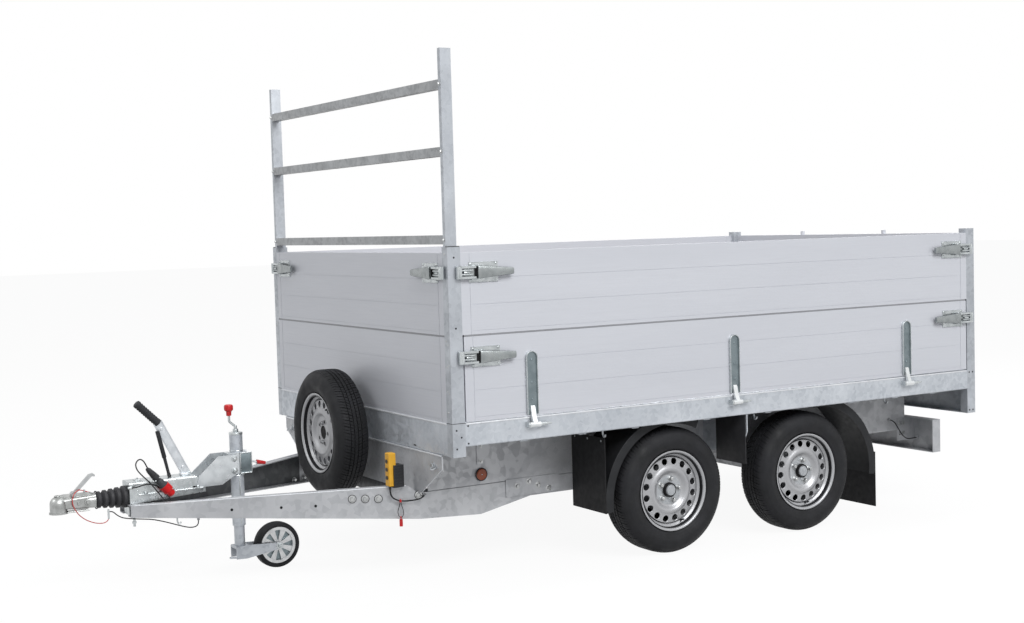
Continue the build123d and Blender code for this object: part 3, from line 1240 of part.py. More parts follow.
# ---------------------------------------------------------------- plug
PLUG_TAIL = (DRAWBAR_REACH - 119.0, 90.0, 515.0)
PLUG_AXIS = Vector(-0.658, 0.0, -0.752).normalized()
# profile of the parked plug and its cap: along the axis from the tail, radius
PLUG_PROFILE = ((0.0, 6.5), (14.0, 8.0), (18.0, 13.0), (34.0, 17.0), (53.0, 18.5), (55.0, 24.0),
                (88.0, 24.0), (94.0, 19.0), (112.0, 17.0), (117.0, 11.0))


def plug():
    """Electrical plug parked in its cap beside the housing."""
    outline = [(0, 0), *PLUG_PROFILE, (PLUG_PROFILE[-1][0], 0)]
    place = Location(Plane(origin=at(PLUG_TAIL), x_dir=PLUG_AXIS, z_dir=(0, 1, 0)))
    return place * revolve_y(ring_profile(outline))


# ---------------------------------------------------------------- breakaway clip and key tag
CABLE_LINK = (DRAWBAR_REACH + 87.0, 35.0)    # link between the two brake cables: ahead, y
CABLE_LINK_Z = (352.0, 385.0)
CABLE_LINK_HALF = 4.0
TAG_TURN = 150.0                 # the tag's broad face about the vertical
TAG_TIE = (80.0, BEAM_OUT - 25.0, 370.5)     # tie on the pendant's lead that the lanyard hangs from
TIE_SIZE = (8.0, 11.0, 13.0)
TAG_TOP = 286.1
TAG_SIZE = (15.0, 7.0, 34.0)
TAG_EYE_R = 8.0
TAG_EYE_BORE_R = 4.5
TAG_EYE_T = 4.0
TIE_FIT = 0.3


def cable_link():
    x, y = ahead(CABLE_LINK[0]), CABLE_LINK[1]
    half = CABLE_LINK_HALF
    return block((x - half, x + half), (y - half, y + half), CABLE_LINK_Z)


# lanyard of the key: across the tag's broad face from its middle, height
LANYARD_LINE = ((-3, 364), (-3, 352), (-9, 337), (-13.5, 322), (-12, 309), (-9.5, 300), (-3.5, 293.8),
                (3.5, 293.8), (9.5, 300), (12.5, 310), (12, 324), (8, 339), (3, 352), (3, 364))


def lanyard_route():
    """The lanyard's points from the beam, from the tie through the key's eye and back."""
    x, y = TAG_TIE[0], TAG_TIE[1] - BEAM_OUT
    turn = radians(TAG_TURN)
    return tuple((x + cos(turn) * across, y + sin(turn) * across, z) for across, z in LANYARD_LINE)


# ---------------------------------------------------------------- cords
ARC_SHARE = 0.45          # of the shorter run taken by each arc
# A cord's points are given from one of these places.
FROM_DRAWBAR = (DRAWBAR_REACH, 0.0, 0.0)     # middle of the drawbar's front end, on the ground
FROM_BEAM = (0.0, BEAM_OUT, 0.0)             # left beam's outer face at the bed's front
FROM_BEAM_END = (-BEAM_L, BEAM_OUT, 0.0)     # left beam's outer face at its rear end
# each cord: diameter, where its points are given from, and its route as (ahead, y, z)
CORDS = {
    "breakaway_cable": (4.0, FROM_DRAWBAR, (
        (87, 35, 352), (87, 35, 337), (106, 35, 325), (130, 35, 326), (158, 35, 333), (198, 36, 354),
        (232, 37, 390), (249, 37, 436), (239, 33, 470), (214, 18, 487), (184.3, 5, 477), (162, 0, 467))),
    "brake_lead": (5.0, FROM_DRAWBAR, (
        (83, 35, 374), (69, 35, 374), (52, 36, 356), (34, 39, 343), (14, 43, 336), (-18, 53, 331),
        (-56, 72, 328), (-94, 97, 326), (-134, 122, 316), (-174, 146, 303), (-209, 167, 291),
        (-238, 185, 284), (-261, 196, 286), (-275, 199, 298), (-275, 199, 316))),
    "plug_lead": (6.0, FROM_DRAWBAR, (
        (-18, 64, 474), (-32, 78, 476), (-66, 80, 485), (-102, 72, 483), (-134, 63, 469),
        (-161, 61.5, 444), (-184, 66, 420), (-190, 84, 396), (-174, 104, 390), (-146, 116, 412),
        (-114, 120, 456), (-82, 117, 500), (-52, 110, 532), (-30, 103, 560), (-26, 97, 589),
        (-46, 93, 608), (-68, 91, 596), (-86.07, 90, 552.63), (-119, 90, 515))),
    "pendant_lead": (7.0, FROM_BEAM, (
        (121, -45, 425), (121, -45, 395), (98, -32, 374), (62, -18, 367), (32, 4, 371), (8, 23, 377),
        (-10, 21.5, 383), (-24, 8, 386))),
    "key_loop": (3.0, FROM_BEAM, lanyard_route()),
    "lamp_lead": (6.0, FROM_BEAM_END, (
        (119, 8, 463), (119, 34, 463), (102, 48, 426), (67, 46, 378), (20, 36, 351), (-26, 30, 350),
        (-60, 30, 350))),
}


def route(name):
    """A cord's points in the part's frame."""
    _, start, points = CORDS[name]
    return [Vector(*at(start)) + Vector(*point) for point in points]


def cord(name):
    """Tube along straight runs joined by tangent arcs, each as large as its two runs allow."""
    diameter = CORDS[name][0]
    points = route(name)
    radii = []
    for before, corner, after in zip(points, points[1:], points[2:]):
        into, out = corner - before, after - corner
        turn = radians(into.get_angle(out))
        radii.append(ARC_SHARE * min(into.length, out.length) / tan(turn / 2))
    path = FilletPolyline(*points, radius=radii)
    section = Plane(origin=path @ 0, z_dir=path % 0) * Circle(diameter / 2)
    tube = sweep(section, path=path)
    share = tube.volume / (pi * diameter ** 2 / 4 * path.length)
    print(f"{name}: radii", *(round(radius) for radius in radii), f"volume share {share:.4f}")
    return tube


def key_tag():
    """Key on the pendant's lanyard: a flat grip with an eye across its top."""
    width, depth, height = TAG_SIZE
    grip = Pos(0, 0, -height / 2) * Box(width, depth, height)
    grip = fillet(grip.edges().filter_by(Axis.Y), 3)
    eye = Pos(0, 0, TAG_EYE_R - 3) * Rot(0, 90, 0) * Cylinder(TAG_EYE_R, TAG_EYE_T)
    bore = Pos(0, 0, TAG_EYE_R - 3) * Rot(0, 90, 0) * Cylinder(TAG_EYE_BORE_R, width)
    key = Rot(0, 0, TAG_TURN) * (grip + eye - bore)
    lead_start, lead_end = route("pendant_lead")[2:4]
    along = lead_end - lead_start
    tie = Plane(origin=(0, 0, 0), x_dir=(along.X, along.Y, 0), z_dir=(0, 0, 1)) * Box(*TIE_SIZE)
    lead_bore = rod(-along, along, CORDS["pendant_lead"][0] / 2 + TIE_FIT)
    x, y, z = at(TAG_TIE)
    return [Pos(x, y, TAG_TOP) * key, Pos(x, y, z) * (tie - lead_bore)]


# ---------------------------------------------------------------- output
def build():
    """Every node's name and shape."""
    nodes = {
        "side_rails": side_rails(),
        "front_rail": front_rail(),
        "rear_sill": rear_sill(),
        "floor": floor(),
        "cross_members": cross_members(),
        "chassis_beams": chassis_beams(),
        "front_cross_plate": front_cross_plate(),
        "drawbars": drawbars(),
        "corner_posts": corner_posts(),
        "front_posts_upper": front_posts_upper(),
        "ladder_uprights": ladder_uprights(),
        "ladder_rails": ladder_rails(),
        "front_board_lower": front_board_lower(),
        "upper_boards": upper_boards(),
        "upper_latches": upper_latches(),
        "hinge_pins": hinge_pins(),
        "tail_board_lower": tail_board_lower(),
        "tail_fittings": tail_fittings(),
        "axles": axles(),
        "mudguards": mudguards(),
        "mud_flaps": mud_flaps(),
        "light_bar": light_bar(),
        "lamps": lamps(),
        "spare_tyre": spare_location() * tyre(),
        "spare_rim": spare_location() * rim(with_drum=False),
        "spare_carrier": spare_carrier(),
        "coupling_head": coupling_head(),
        "coupling_handle": coupling_handle(),
        "bellows": bellows(),
        "overrun_housing": overrun_housing(),
        "handbrake_lever": handbrake_lever(),
        "gas_strut": gas_strut(),
        "jockey_clamp": jockey_clamp(),
        "jockey_tube": jockey_tube(),
        "jockey_crank": jockey_crank(),
        "jockey_fork": jockey_fork(),
        "jockey_wheel": jockey_wheel(),
        "pendant": pendant(),
        "pendant_holder": pendant_holder(),
        "plug": plug(),
        "cable_link": cable_link(),
        "key_tag": key_tag(),
    }
    for name in CORDS:
        nodes[name] = cord(name)
    for side, name in SIDES:
        nodes[f"{name}_board_lower"] = side_board_lower(side)
        nodes[f"{name}_fittings"] = side_fittings(side)
        for place, end in zip(AXLE_PLACES, ("front", "rear")):
            spot = road_location(place, side)
            nodes[f"tyre_{end}_{name}"] = spot * tyre()
            nodes[f"rim_{end}_{name}"] = spot * rim()
    return nodes


def main():
    os.makedirs("parts", exist_ok=True)
    for name, shape in build().items():
        export_step(solids(shape), f"parts/{name}.step")


main()
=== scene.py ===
import json
import math

import bmesh
import bpy
from mathutils import Matrix, Vector


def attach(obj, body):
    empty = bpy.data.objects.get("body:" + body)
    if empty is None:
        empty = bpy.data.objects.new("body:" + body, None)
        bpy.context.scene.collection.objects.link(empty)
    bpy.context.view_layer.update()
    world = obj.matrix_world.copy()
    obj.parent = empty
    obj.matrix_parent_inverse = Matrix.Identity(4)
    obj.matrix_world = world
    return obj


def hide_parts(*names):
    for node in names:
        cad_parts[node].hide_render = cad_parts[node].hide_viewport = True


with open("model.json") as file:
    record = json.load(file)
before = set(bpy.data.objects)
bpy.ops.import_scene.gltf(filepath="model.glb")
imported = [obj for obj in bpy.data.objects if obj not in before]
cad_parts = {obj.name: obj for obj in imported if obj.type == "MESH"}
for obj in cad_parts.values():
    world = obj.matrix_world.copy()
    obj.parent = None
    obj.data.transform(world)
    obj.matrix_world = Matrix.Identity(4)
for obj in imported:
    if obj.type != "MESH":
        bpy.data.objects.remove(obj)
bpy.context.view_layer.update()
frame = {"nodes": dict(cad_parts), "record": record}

# ---- the trailer's places, in millimetres
X_FRONT = 897             # front of the bed
BED_L = 3262
HALF_W = 1010             # half the bed's width
REAR = X_FRONT - BED_L
BEAM_OUT = 660            # outer face of a chassis beam
DRAWBAR_REACH = 1164
AXLE_PLACES = (1231.5, 2077)      # behind the bed's front
WHEEL_Y = 873
WHEEL_R = 308
JOCKEY_X = X_FRONT + DRAWBAR_REACH - 540
SIDES = ((1, "left"), (-1, "right"))
BOTH = (1, -1)            # left and right, as signs of y
ORIGIN, X_AXIS, Y_AXIS, Z_AXIS = (0, 0, 0), (1, 0, 0), (0, 1, 0), (0, 0, 1)


def at(ahead, y, z):
    """A point of the trailer, given ahead of the bed's front."""
    return (X_FRONT + ahead, y, z)


def span(start, end):
    """From one x to another, both given ahead of the bed's front."""
    return (X_FRONT + start, X_FRONT + end)


def by_tube(x, y, z):
    """A point given ahead of the jockey wheel's tube."""
    return (JOCKEY_X + x, y, z)


def add_to_scene(made):
    bpy.context.scene.collection.objects.link(made)


# ---- camera, its place in metres and its angles in radians
CAMERA_AT = (3.9481, 6.6844, 1.6177)
YAW, PITCH, ROLL = -2.10673, -0.05880, -0.0288
FOCAL = 1482.94 / 1024    # of the picture's width
SENSOR = 36


def make_camera():
    ahead = Vector((math.cos(PITCH) * math.cos(YAW), math.cos(PITCH) * math.sin(YAW), math.sin(PITCH)))
    right = ahead.cross(Vector(Z_AXIS)).normalized()
    up = right.cross(ahead)
    c, s = math.cos(ROLL), math.sin(ROLL)
    right, up = c * right + s * up, c * up - s * right
    data = bpy.data.cameras.new("camera")
    data.sensor_width = SENSOR
    data.lens = SENSOR * FOCAL
    camera = bpy.data.objects.new("camera", data)
    turn = Matrix((right, up, -ahead)).transposed().to_4x4()
    camera.matrix_world = Matrix.Translation(CAMERA_AT) @ turn
    add_to_scene(camera)
    bpy.context.scene.camera = camera


make_camera()


# ---- materials
DIELECTRIC_SHINE = 0.22   # of black plastic and rubber
ZONE_EDGE = 0.0002        # half the width over which one finish gives way to another


def set_range(node, source, target):
    for key, number in zip(("From Min", "From Max", "To Min", "To Max"), (*source, *target)):
        node.inputs[key].default_value = number


class Surface:
    """A Principled material with its colour, roughness and bump built from textures of the object's place."""

    def __init__(self, name, colour, metallic=0, roughness=0.5):
        self.material = bpy.data.materials.new(name)
        self.material.use_nodes = True
        self.tree = self.material.node_tree
        self.link = self.tree.links.new
        self.shader = self.tree.nodes["Principled BSDF"]
        self.shader.inputs["Metallic"].default_value = metallic
        self.shader.inputs["Roughness"].default_value = roughness
        if metallic == 0 and max(colour) < 0.06:
            self.shader.inputs["Specular IOR Level"].default_value = DIELECTRIC_SHINE
        plain = self.node("ShaderNodeRGB")
        plain.outputs[0].default_value = (*colour, 1)
        self.last_colour = plain.outputs[0]
        self.last_bump = None
        self.place = self.node("ShaderNodeTexCoord").outputs["Object"]

    def node(self, kind, **settings):
        made = self.tree.nodes.new(kind)
        for key, value in settings.items():
            setattr(made, key, value)
        return made

    def texture(self, kind, scale, stretch=(1, 1, 1), detail=3):
        """A grey value from 0 to 1: noise, cells of one tone each, or the distance to cells' edges."""
        mapping = self.node("ShaderNodeMapping")
        mapping.inputs["Scale"].default_value = stretch
        self.link(self.place, mapping.inputs["Vector"])
        if kind == "noise":
            made = self.node("ShaderNodeTexNoise")
            made.inputs["Detail"].default_value = detail
            result = made.outputs["Fac"]
        else:
            made = self.node("ShaderNodeTexVoronoi", feature="F1" if kind == "cells" else "DISTANCE_TO_EDGE")
            result = made.outputs["Distance"]
            if kind == "cells":
                grey = self.node("ShaderNodeRGBToBW")
                self.link(made.outputs["Color"], grey.inputs[0])
                result = grey.outputs[0]
        made.inputs["Scale"].default_value = scale
        self.link(mapping.outputs[0], made.inputs["Vector"])
        return result

    def ranged(self, value, source, target):
        spread = self.node("ShaderNodeMapRange")
        set_range(spread, source, target)
        self.link(value, spread.inputs["Value"])
        return spread.outputs[0]

    def mix(self, factor, second):
        made = self.node("ShaderNodeMix", data_type="RGBA")
        self.link(factor, made.inputs["Factor"])
        self.link(self.last_colour, made.inputs["A"])
        made.inputs["B"].default_value = (*second, 1)
        self.last_colour = made.outputs["Result"]
        return self

    def tint(self, kind, scale, second, amount=1, source=(0.35, 0.65), **texture):
        """Blends towards a second colour where the texture is high."""
        return self.mix(self.ranged(self.texture(kind, scale, **texture), source, (0, amount)), second)

    def zone(self, start, direction, second, metallic=None):
        """A second finish past a point along a direction."""
        offset = self.node("ShaderNodeVectorMath", operation="SUBTRACT")
        self.link(self.place, offset.inputs[0])
        offset.inputs[1].default_value = [value / 1000 for value in start]
        along = self.node("ShaderNodeVectorMath", operation="DOT_PRODUCT")
        self.link(offset.outputs[0], along.inputs[0])
        along.inputs[1].default_value = Vector(direction).normalized()
        inside = self.ranged(along.outputs["Value"], (-ZONE_EDGE, ZONE_EDGE), (0, 1))
        self.mix(inside, second)
        if metallic is not None:
            before = self.shader.inputs["Metallic"].default_value
            self.link(self.ranged(inside, (0, 1), (before, metallic)), self.shader.inputs["Metallic"])
        return self

    def rough(self, kind, scale, low, high, **texture):
        value = self.ranged(self.texture(kind, scale, **texture), (0.3, 0.7), (low, high))
        self.link(value, self.shader.inputs["Roughness"])
        return self

    def bump(self, kind, scale, height, strength=0.5, **texture):
        made = self.node("ShaderNodeBump")
        made.inputs["Strength"].default_value = strength
        made.inputs["Distance"].default_value = height
        self.link(self.texture(kind, scale, **texture), made.inputs["Height"])
        if self.last_bump:
            self.link(self.last_bump, made.inputs["Normal"])
        self.last_bump = made.outputs[0]
        return self

    def done(self):
        self.link(self.last_colour, self.shader.inputs["Base Color"])
        self.link(self.last_bump, self.shader.inputs["Normal"])
        return self.material

    def grained(self, low, high, grain=400, height=0.0002, strength=0.2):
        """The usual end: patchy roughness and a fine grain."""
        return self.rough("noise", 60, low, high).bump("noise", grain, height, strength).done()


def galvanised(name, colour, dark, pale, roughness=(0.38, 0.55), metallic=0.55, spangle=55):
    return (Surface(name, colour, metallic)
            .tint("cells", spangle, dark, 0.55, (0.35, 0.75))
            .tint("noise", 7, pale, 0.6, (0.42, 0.68), detail=5)
            .tint("noise", 2.2, dark, 0.5, (0.5, 0.75), detail=6)
            .rough("cells", spangle, *roughness)
            .bump("noise", 160, 0.0004, 0.25, detail=2).done())


def anodised(name, colour, second):
    return (Surface(name, colour, 0.22, 0.42)
            .tint("noise", 1.3, second, 0.5, (0.35, 0.7), stretch=(0.5, 0.5, 3))
            .tint("noise", 260, second, 0.35, (0.3, 0.7), stretch=(0.02, 0.02, 1))
            .rough("noise", 240, 0.36, 0.47, stretch=(0.02, 0.02, 1))
            .bump("noise", 300, 0.0001, 0.15, stretch=(0.02, 0.02, 1)).done())


def zinc(name, colour, second, roughness=(0.22, 0.38)):
    return Surface(name, colour, 0.85).tint("noise", 30, second, 0.6, (0.4, 0.65),
                                            detail=5).grained(*roughness)


def plastic(name, colour, second, roughness=(0.4, 0.6), grain=500):
    return (Surface(name, colour, 0)
            .tint("noise", 12, second, 0.6, (0.4, 0.7), detail=4)
            .rough("noise", 40, *roughness)
            .bump("noise", grain, 0.0003, 0.3).done())


def lens_glass(name, colour, second, cells, roughness, patches):
    """Glass with a moulded pattern of cells."""
    return (Surface(name, colour, 0, roughness)
            .tint("cells", cells, second, 0.6, (0.3, 0.8))
            .rough("noise", 60, *patches)
            .bump("cells", cells, 0.0006, 0.5).done())


STEEL = galvanised("galvanised_steel", (0.52, 0.55, 0.59), (0.37, 0.40, 0.44), (0.64, 0.67, 0.71))
BEAM_STEEL = galvanised("galvanised_beams", (0.46, 0.47, 0.49), (0.35, 0.36, 0.38), (0.58, 0.59, 0.61),
                        (0.45, 0.62), 0.45, 38)
RACK_STEEL = galvanised("galvanised_rack", (0.44, 0.465, 0.50), (0.32, 0.34, 0.37), (0.56, 0.59, 0.63))
RAIL_STEEL = galvanised("galvanised_rails", (0.34, 0.35, 0.36), (0.25, 0.26, 0.27), (0.44, 0.455, 0.47))
# near-black steel that paints the shade inside the drawbars' channels and under the front cross plate
SHADE_STEEL = galvanised("painted_channel_shade", (0.085, 0.09, 0.095), (0.055, 0.058, 0.062), (0.13, 0.135, 0.14),
                         (0.5, 0.65), 0.3, 38)
BOARDS = anodised("anodised_boards", (0.60, 0.615, 0.66), (0.53, 0.545, 0.59))
ZINC = zinc("bright_zinc", (0.56, 0.59, 0.60), (0.36, 0.39, 0.40))
CAST_ZINC = zinc("cast_zinc", (0.44, 0.45, 0.445), (0.24, 0.25, 0.24), (0.26, 0.42))
LEVER = zinc("lever_metal", (0.50, 0.515, 0.52), (0.36, 0.37, 0.38), (0.28, 0.4))
BLACK = plastic("black_plastic", (0.022, 0.023, 0.026), (0.035, 0.036, 0.04))
GUARD = plastic("guard_plastic", (0.016, 0.017, 0.019), (0.028, 0.029, 0.032), (0.42, 0.6), 300)
RUBBER = plastic("boot_rubber", (0.035, 0.035, 0.038), (0.055, 0.055, 0.06), (0.45, 0.65), 200)
FLAP = plastic("flap_rubber", (0.012, 0.012, 0.013), (0.02, 0.02, 0.022), (0.55, 0.75), 120)
TYRE = (Surface("tyre_rubber", (0.013, 0.0135, 0.015), 0)
        .tint("noise", 9, (0.022, 0.0225, 0.026), 0.8, (0.4, 0.7), detail=5)
        .tint("noise", 90, (0.03, 0.03, 0.033), 0.35, (0.55, 0.8))
        .rough("noise", 20, 0.55, 0.75)
        .bump("noise", 350, 0.0004, 0.3).done())
RIM = (Surface("silver_rim", (0.40, 0.405, 0.42), 0.45)
       .tint("noise", 700, (0.54, 0.545, 0.56), 0.5, (0.5, 0.7))
       .tint("noise", 8, (0.33, 0.335, 0.35), 0.5, (0.4, 0.7)).grained(0.3, 0.42, 500, strength=0.15))
RED = plastic("red_plastic", (0.55, 0.012, 0.014), (0.42, 0.008, 0.010), (0.3, 0.45))
YELLOW = plastic("yellow_plastic", (0.80, 0.42, 0.035), (0.68, 0.34, 0.03), (0.35, 0.5))
AMBER = lens_glass("amber_lens", (0.36, 0.062, 0.016), (0.46, 0.11, 0.03), 260, 0.18, (0.12, 0.25))
RED_LENS = lens_glass("red_lens", (0.46, 0.010, 0.010), (0.60, 0.03, 0.02), 220, 0.15, (0.1, 0.22))
CLEAR_LENS = lens_glass("clear_lens", (0.72, 0.74, 0.76), (0.85, 0.87, 0.89), 220, 0.12, (0.08, 0.2))
PLYWOOD = (Surface("plywood_floor", (0.085, 0.048, 0.030), 0)
           .tint("noise", 3, (0.12, 0.07, 0.045), 0.7, (0.4, 0.7), stretch=(0.4, 3, 3), detail=5)
           .tint("edges", 180, (0.055, 0.030, 0.020), 0.6, (0.10, 0.02))
           .rough("noise", 20, 0.34, 0.5)
           .bump("edges", 180, 0.0006, 0.4).done())
CABLE = plastic("cable_sheath", (0.018, 0.018, 0.02), (0.03, 0.03, 0.032), (0.35, 0.5), 300)
RED_CABLE = plastic("red_cable", (0.50, 0.035, 0.03), (0.38, 0.02, 0.02), (0.35, 0.5), 900)
BOLT = zinc("bolt_zinc", (0.50, 0.51, 0.51), (0.32, 0.33, 0.34), (0.25, 0.4))
HUB = galvanised("hub_steel", (0.42, 0.44, 0.46), (0.26, 0.28, 0.30), (0.58, 0.60, 0.62), (0.3, 0.5), 0.6,
                 160)
HANDLE = zinc("latch_handle", (0.33, 0.352, 0.355), (0.20, 0.22, 0.225), (0.24, 0.38))
# darker zinc that paints the shade in recesses: the strap channels' webs, the jockey clamp's side recesses
# and the pockets between the jockey wheel's spokes
RECESS_SHADE = zinc("strap_web_shade", (0.22, 0.262, 0.28), (0.15, 0.185, 0.20), (0.25, 0.4))
# lighter steel that paints the highlight along rolled lips and sheet edges
EDGE_HIGHLIGHT = galvanised("sheet_edge_highlights", (0.68, 0.70, 0.73), (0.56, 0.58, 0.61), (0.78, 0.80, 0.82), (0.35, 0.5), 0.4,
                  90)
SEAM = anodised("board_joint", (0.29, 0.297, 0.315), (0.24, 0.245, 0.26))
BRIGHT = zinc("bright_tongue", (0.74, 0.76, 0.77), (0.58, 0.60, 0.61), (0.3, 0.45))
# near-black that paints the shade in holes, bores, slots, gaps and behind the wheel discs
HOLLOW_SHADE = plastic("painted_hollow_shade", (0.006, 0.006, 0.007), (0.01, 0.01, 0.011), (0.6, 0.8))
TRIM = plastic("dark_trim", (0.03, 0.031, 0.034), (0.045, 0.046, 0.05), (0.45, 0.6))
ROLLER_STEEL = zinc("roller_steel", (0.62, 0.63, 0.64), (0.45, 0.46, 0.47), (0.25, 0.4))
CLAMP_LOOK = (Surface("clamp_finish", (0.66, 0.69, 0.71), 0.85)      # with a red end
              .tint("noise", 28, (0.48, 0.51, 0.53), 0.6, (0.4, 0.65))
              .zone(by_tube(-97.5, 0, 0), (-1, 0, 0), (0.50, 0.010, 0.012), 0).grained(0.26, 0.42))
LEVER_LOOK = (Surface("brake_lever_finish", (0.66, 0.69, 0.72), 0.8)
              .tint("noise", 28, (0.50, 0.53, 0.56), 0.6, (0.4, 0.65)).grained(0.28, 0.42))
PLUG_SEAT = at(1045, 90, 515)       # where the lead leaves the plug
PLUG_WAY = (0.6585, 0, 0.7526)      # from the plug towards its lead


def along_plug(distance):
    return (PLUG_SEAT[0] + PLUG_WAY[0] * distance, PLUG_SEAT[1], PLUG_SEAT[2] + PLUG_WAY[2] * distance)


PLUG_LOOK = (Surface("plug_finish", (0.045, 0.047, 0.052), 0, 0.5)      # with a red cap
             .tint("noise", 30, (0.065, 0.067, 0.072), 0.6, (0.4, 0.65))
             .zone(along_plug(-54.5), (-PLUG_WAY[0], 0, -PLUG_WAY[2]), (0.55, 0.012, 0.014))
             .grained(0.35, 0.5, height=0.0003, strength=0.25))
PENDANT_LOOK = (Surface("pendant_finish", (0.80, 0.43, 0.03), 0, 0.45)      # with black parts
                .tint("noise", 20, (0.70, 0.35, 0.025), 0.6, (0.4, 0.65))
                .zone(at(133.4, 0, 0), X_AXIS, (0.02, 0.02, 0.022))
                .zone((0, 0, 441.5), (0, 0, -1), (0.02, 0.02, 0.022)).grained(0.35, 0.5, 500, strength=0.25))

LOOKS = {
    "galvanised_steel": STEEL, "aluminium_board": BOARDS, "zinc_fittings": ZINC, "black_plastic": BLACK,
    "rubber": RUBBER, "phenolic_plywood": PLYWOOD, "lamp_lens": RED_LENS, "tyre_rubber": TYRE,
    "silver_rim": RIM, "red_plastic": RED, "yellow_plastic": YELLOW, "jockey_roller": RUBBER,
    "cable_black": CABLE}
NODE_LOOKS = {
    "chassis_beams": BEAM_STEEL, "drawbars": BEAM_STEEL, "front_cross_plate": BEAM_STEEL,
    "light_bar": BEAM_STEEL, "axles": BEAM_STEEL, "ladder_uprights": RACK_STEEL, "ladder_rails": RAIL_STEEL,
    "corner_posts": RACK_STEEL, "front_posts_upper": RACK_STEEL, "mud_flaps": FLAP, "mudguards": GUARD,
    "coupling_head": CAST_ZINC, "coupling_handle": LEVER, "overrun_housing": ZINC,
    "jockey_clamp": CLAMP_LOOK, "plug": PLUG_LOOK,
    "pendant": PENDANT_LOOK, "pendant_holder": TRIM}
SLOTS = {row["node"]: row["material_slot"] for row in frame["record"]["subparts"]}
for node_name, node in frame["nodes"].items():
    node.data.materials.clear()
    node.data.materials.append(NODE_LOOKS.get(node_name, LOOKS[SLOTS[node_name]]))


# ---- meshes
def turned(origin, u, w):
    """Matrix of a local frame: u along its x, w along its z, in millimetres."""
    x, z = Vector(u).normalized(), Vector(w).normalized()
    y = z.cross(x)
    return Matrix.Translation(origin) @ Matrix((x, y, z)).transposed().to_4x4()


def circle(radius, sides):
    """Pairs of coordinates round a circle."""
    turns = [math.tau * i / sides for i in range(sides)]
    return [(radius * math.cos(a), radius * math.sin(a)) for a in turns]


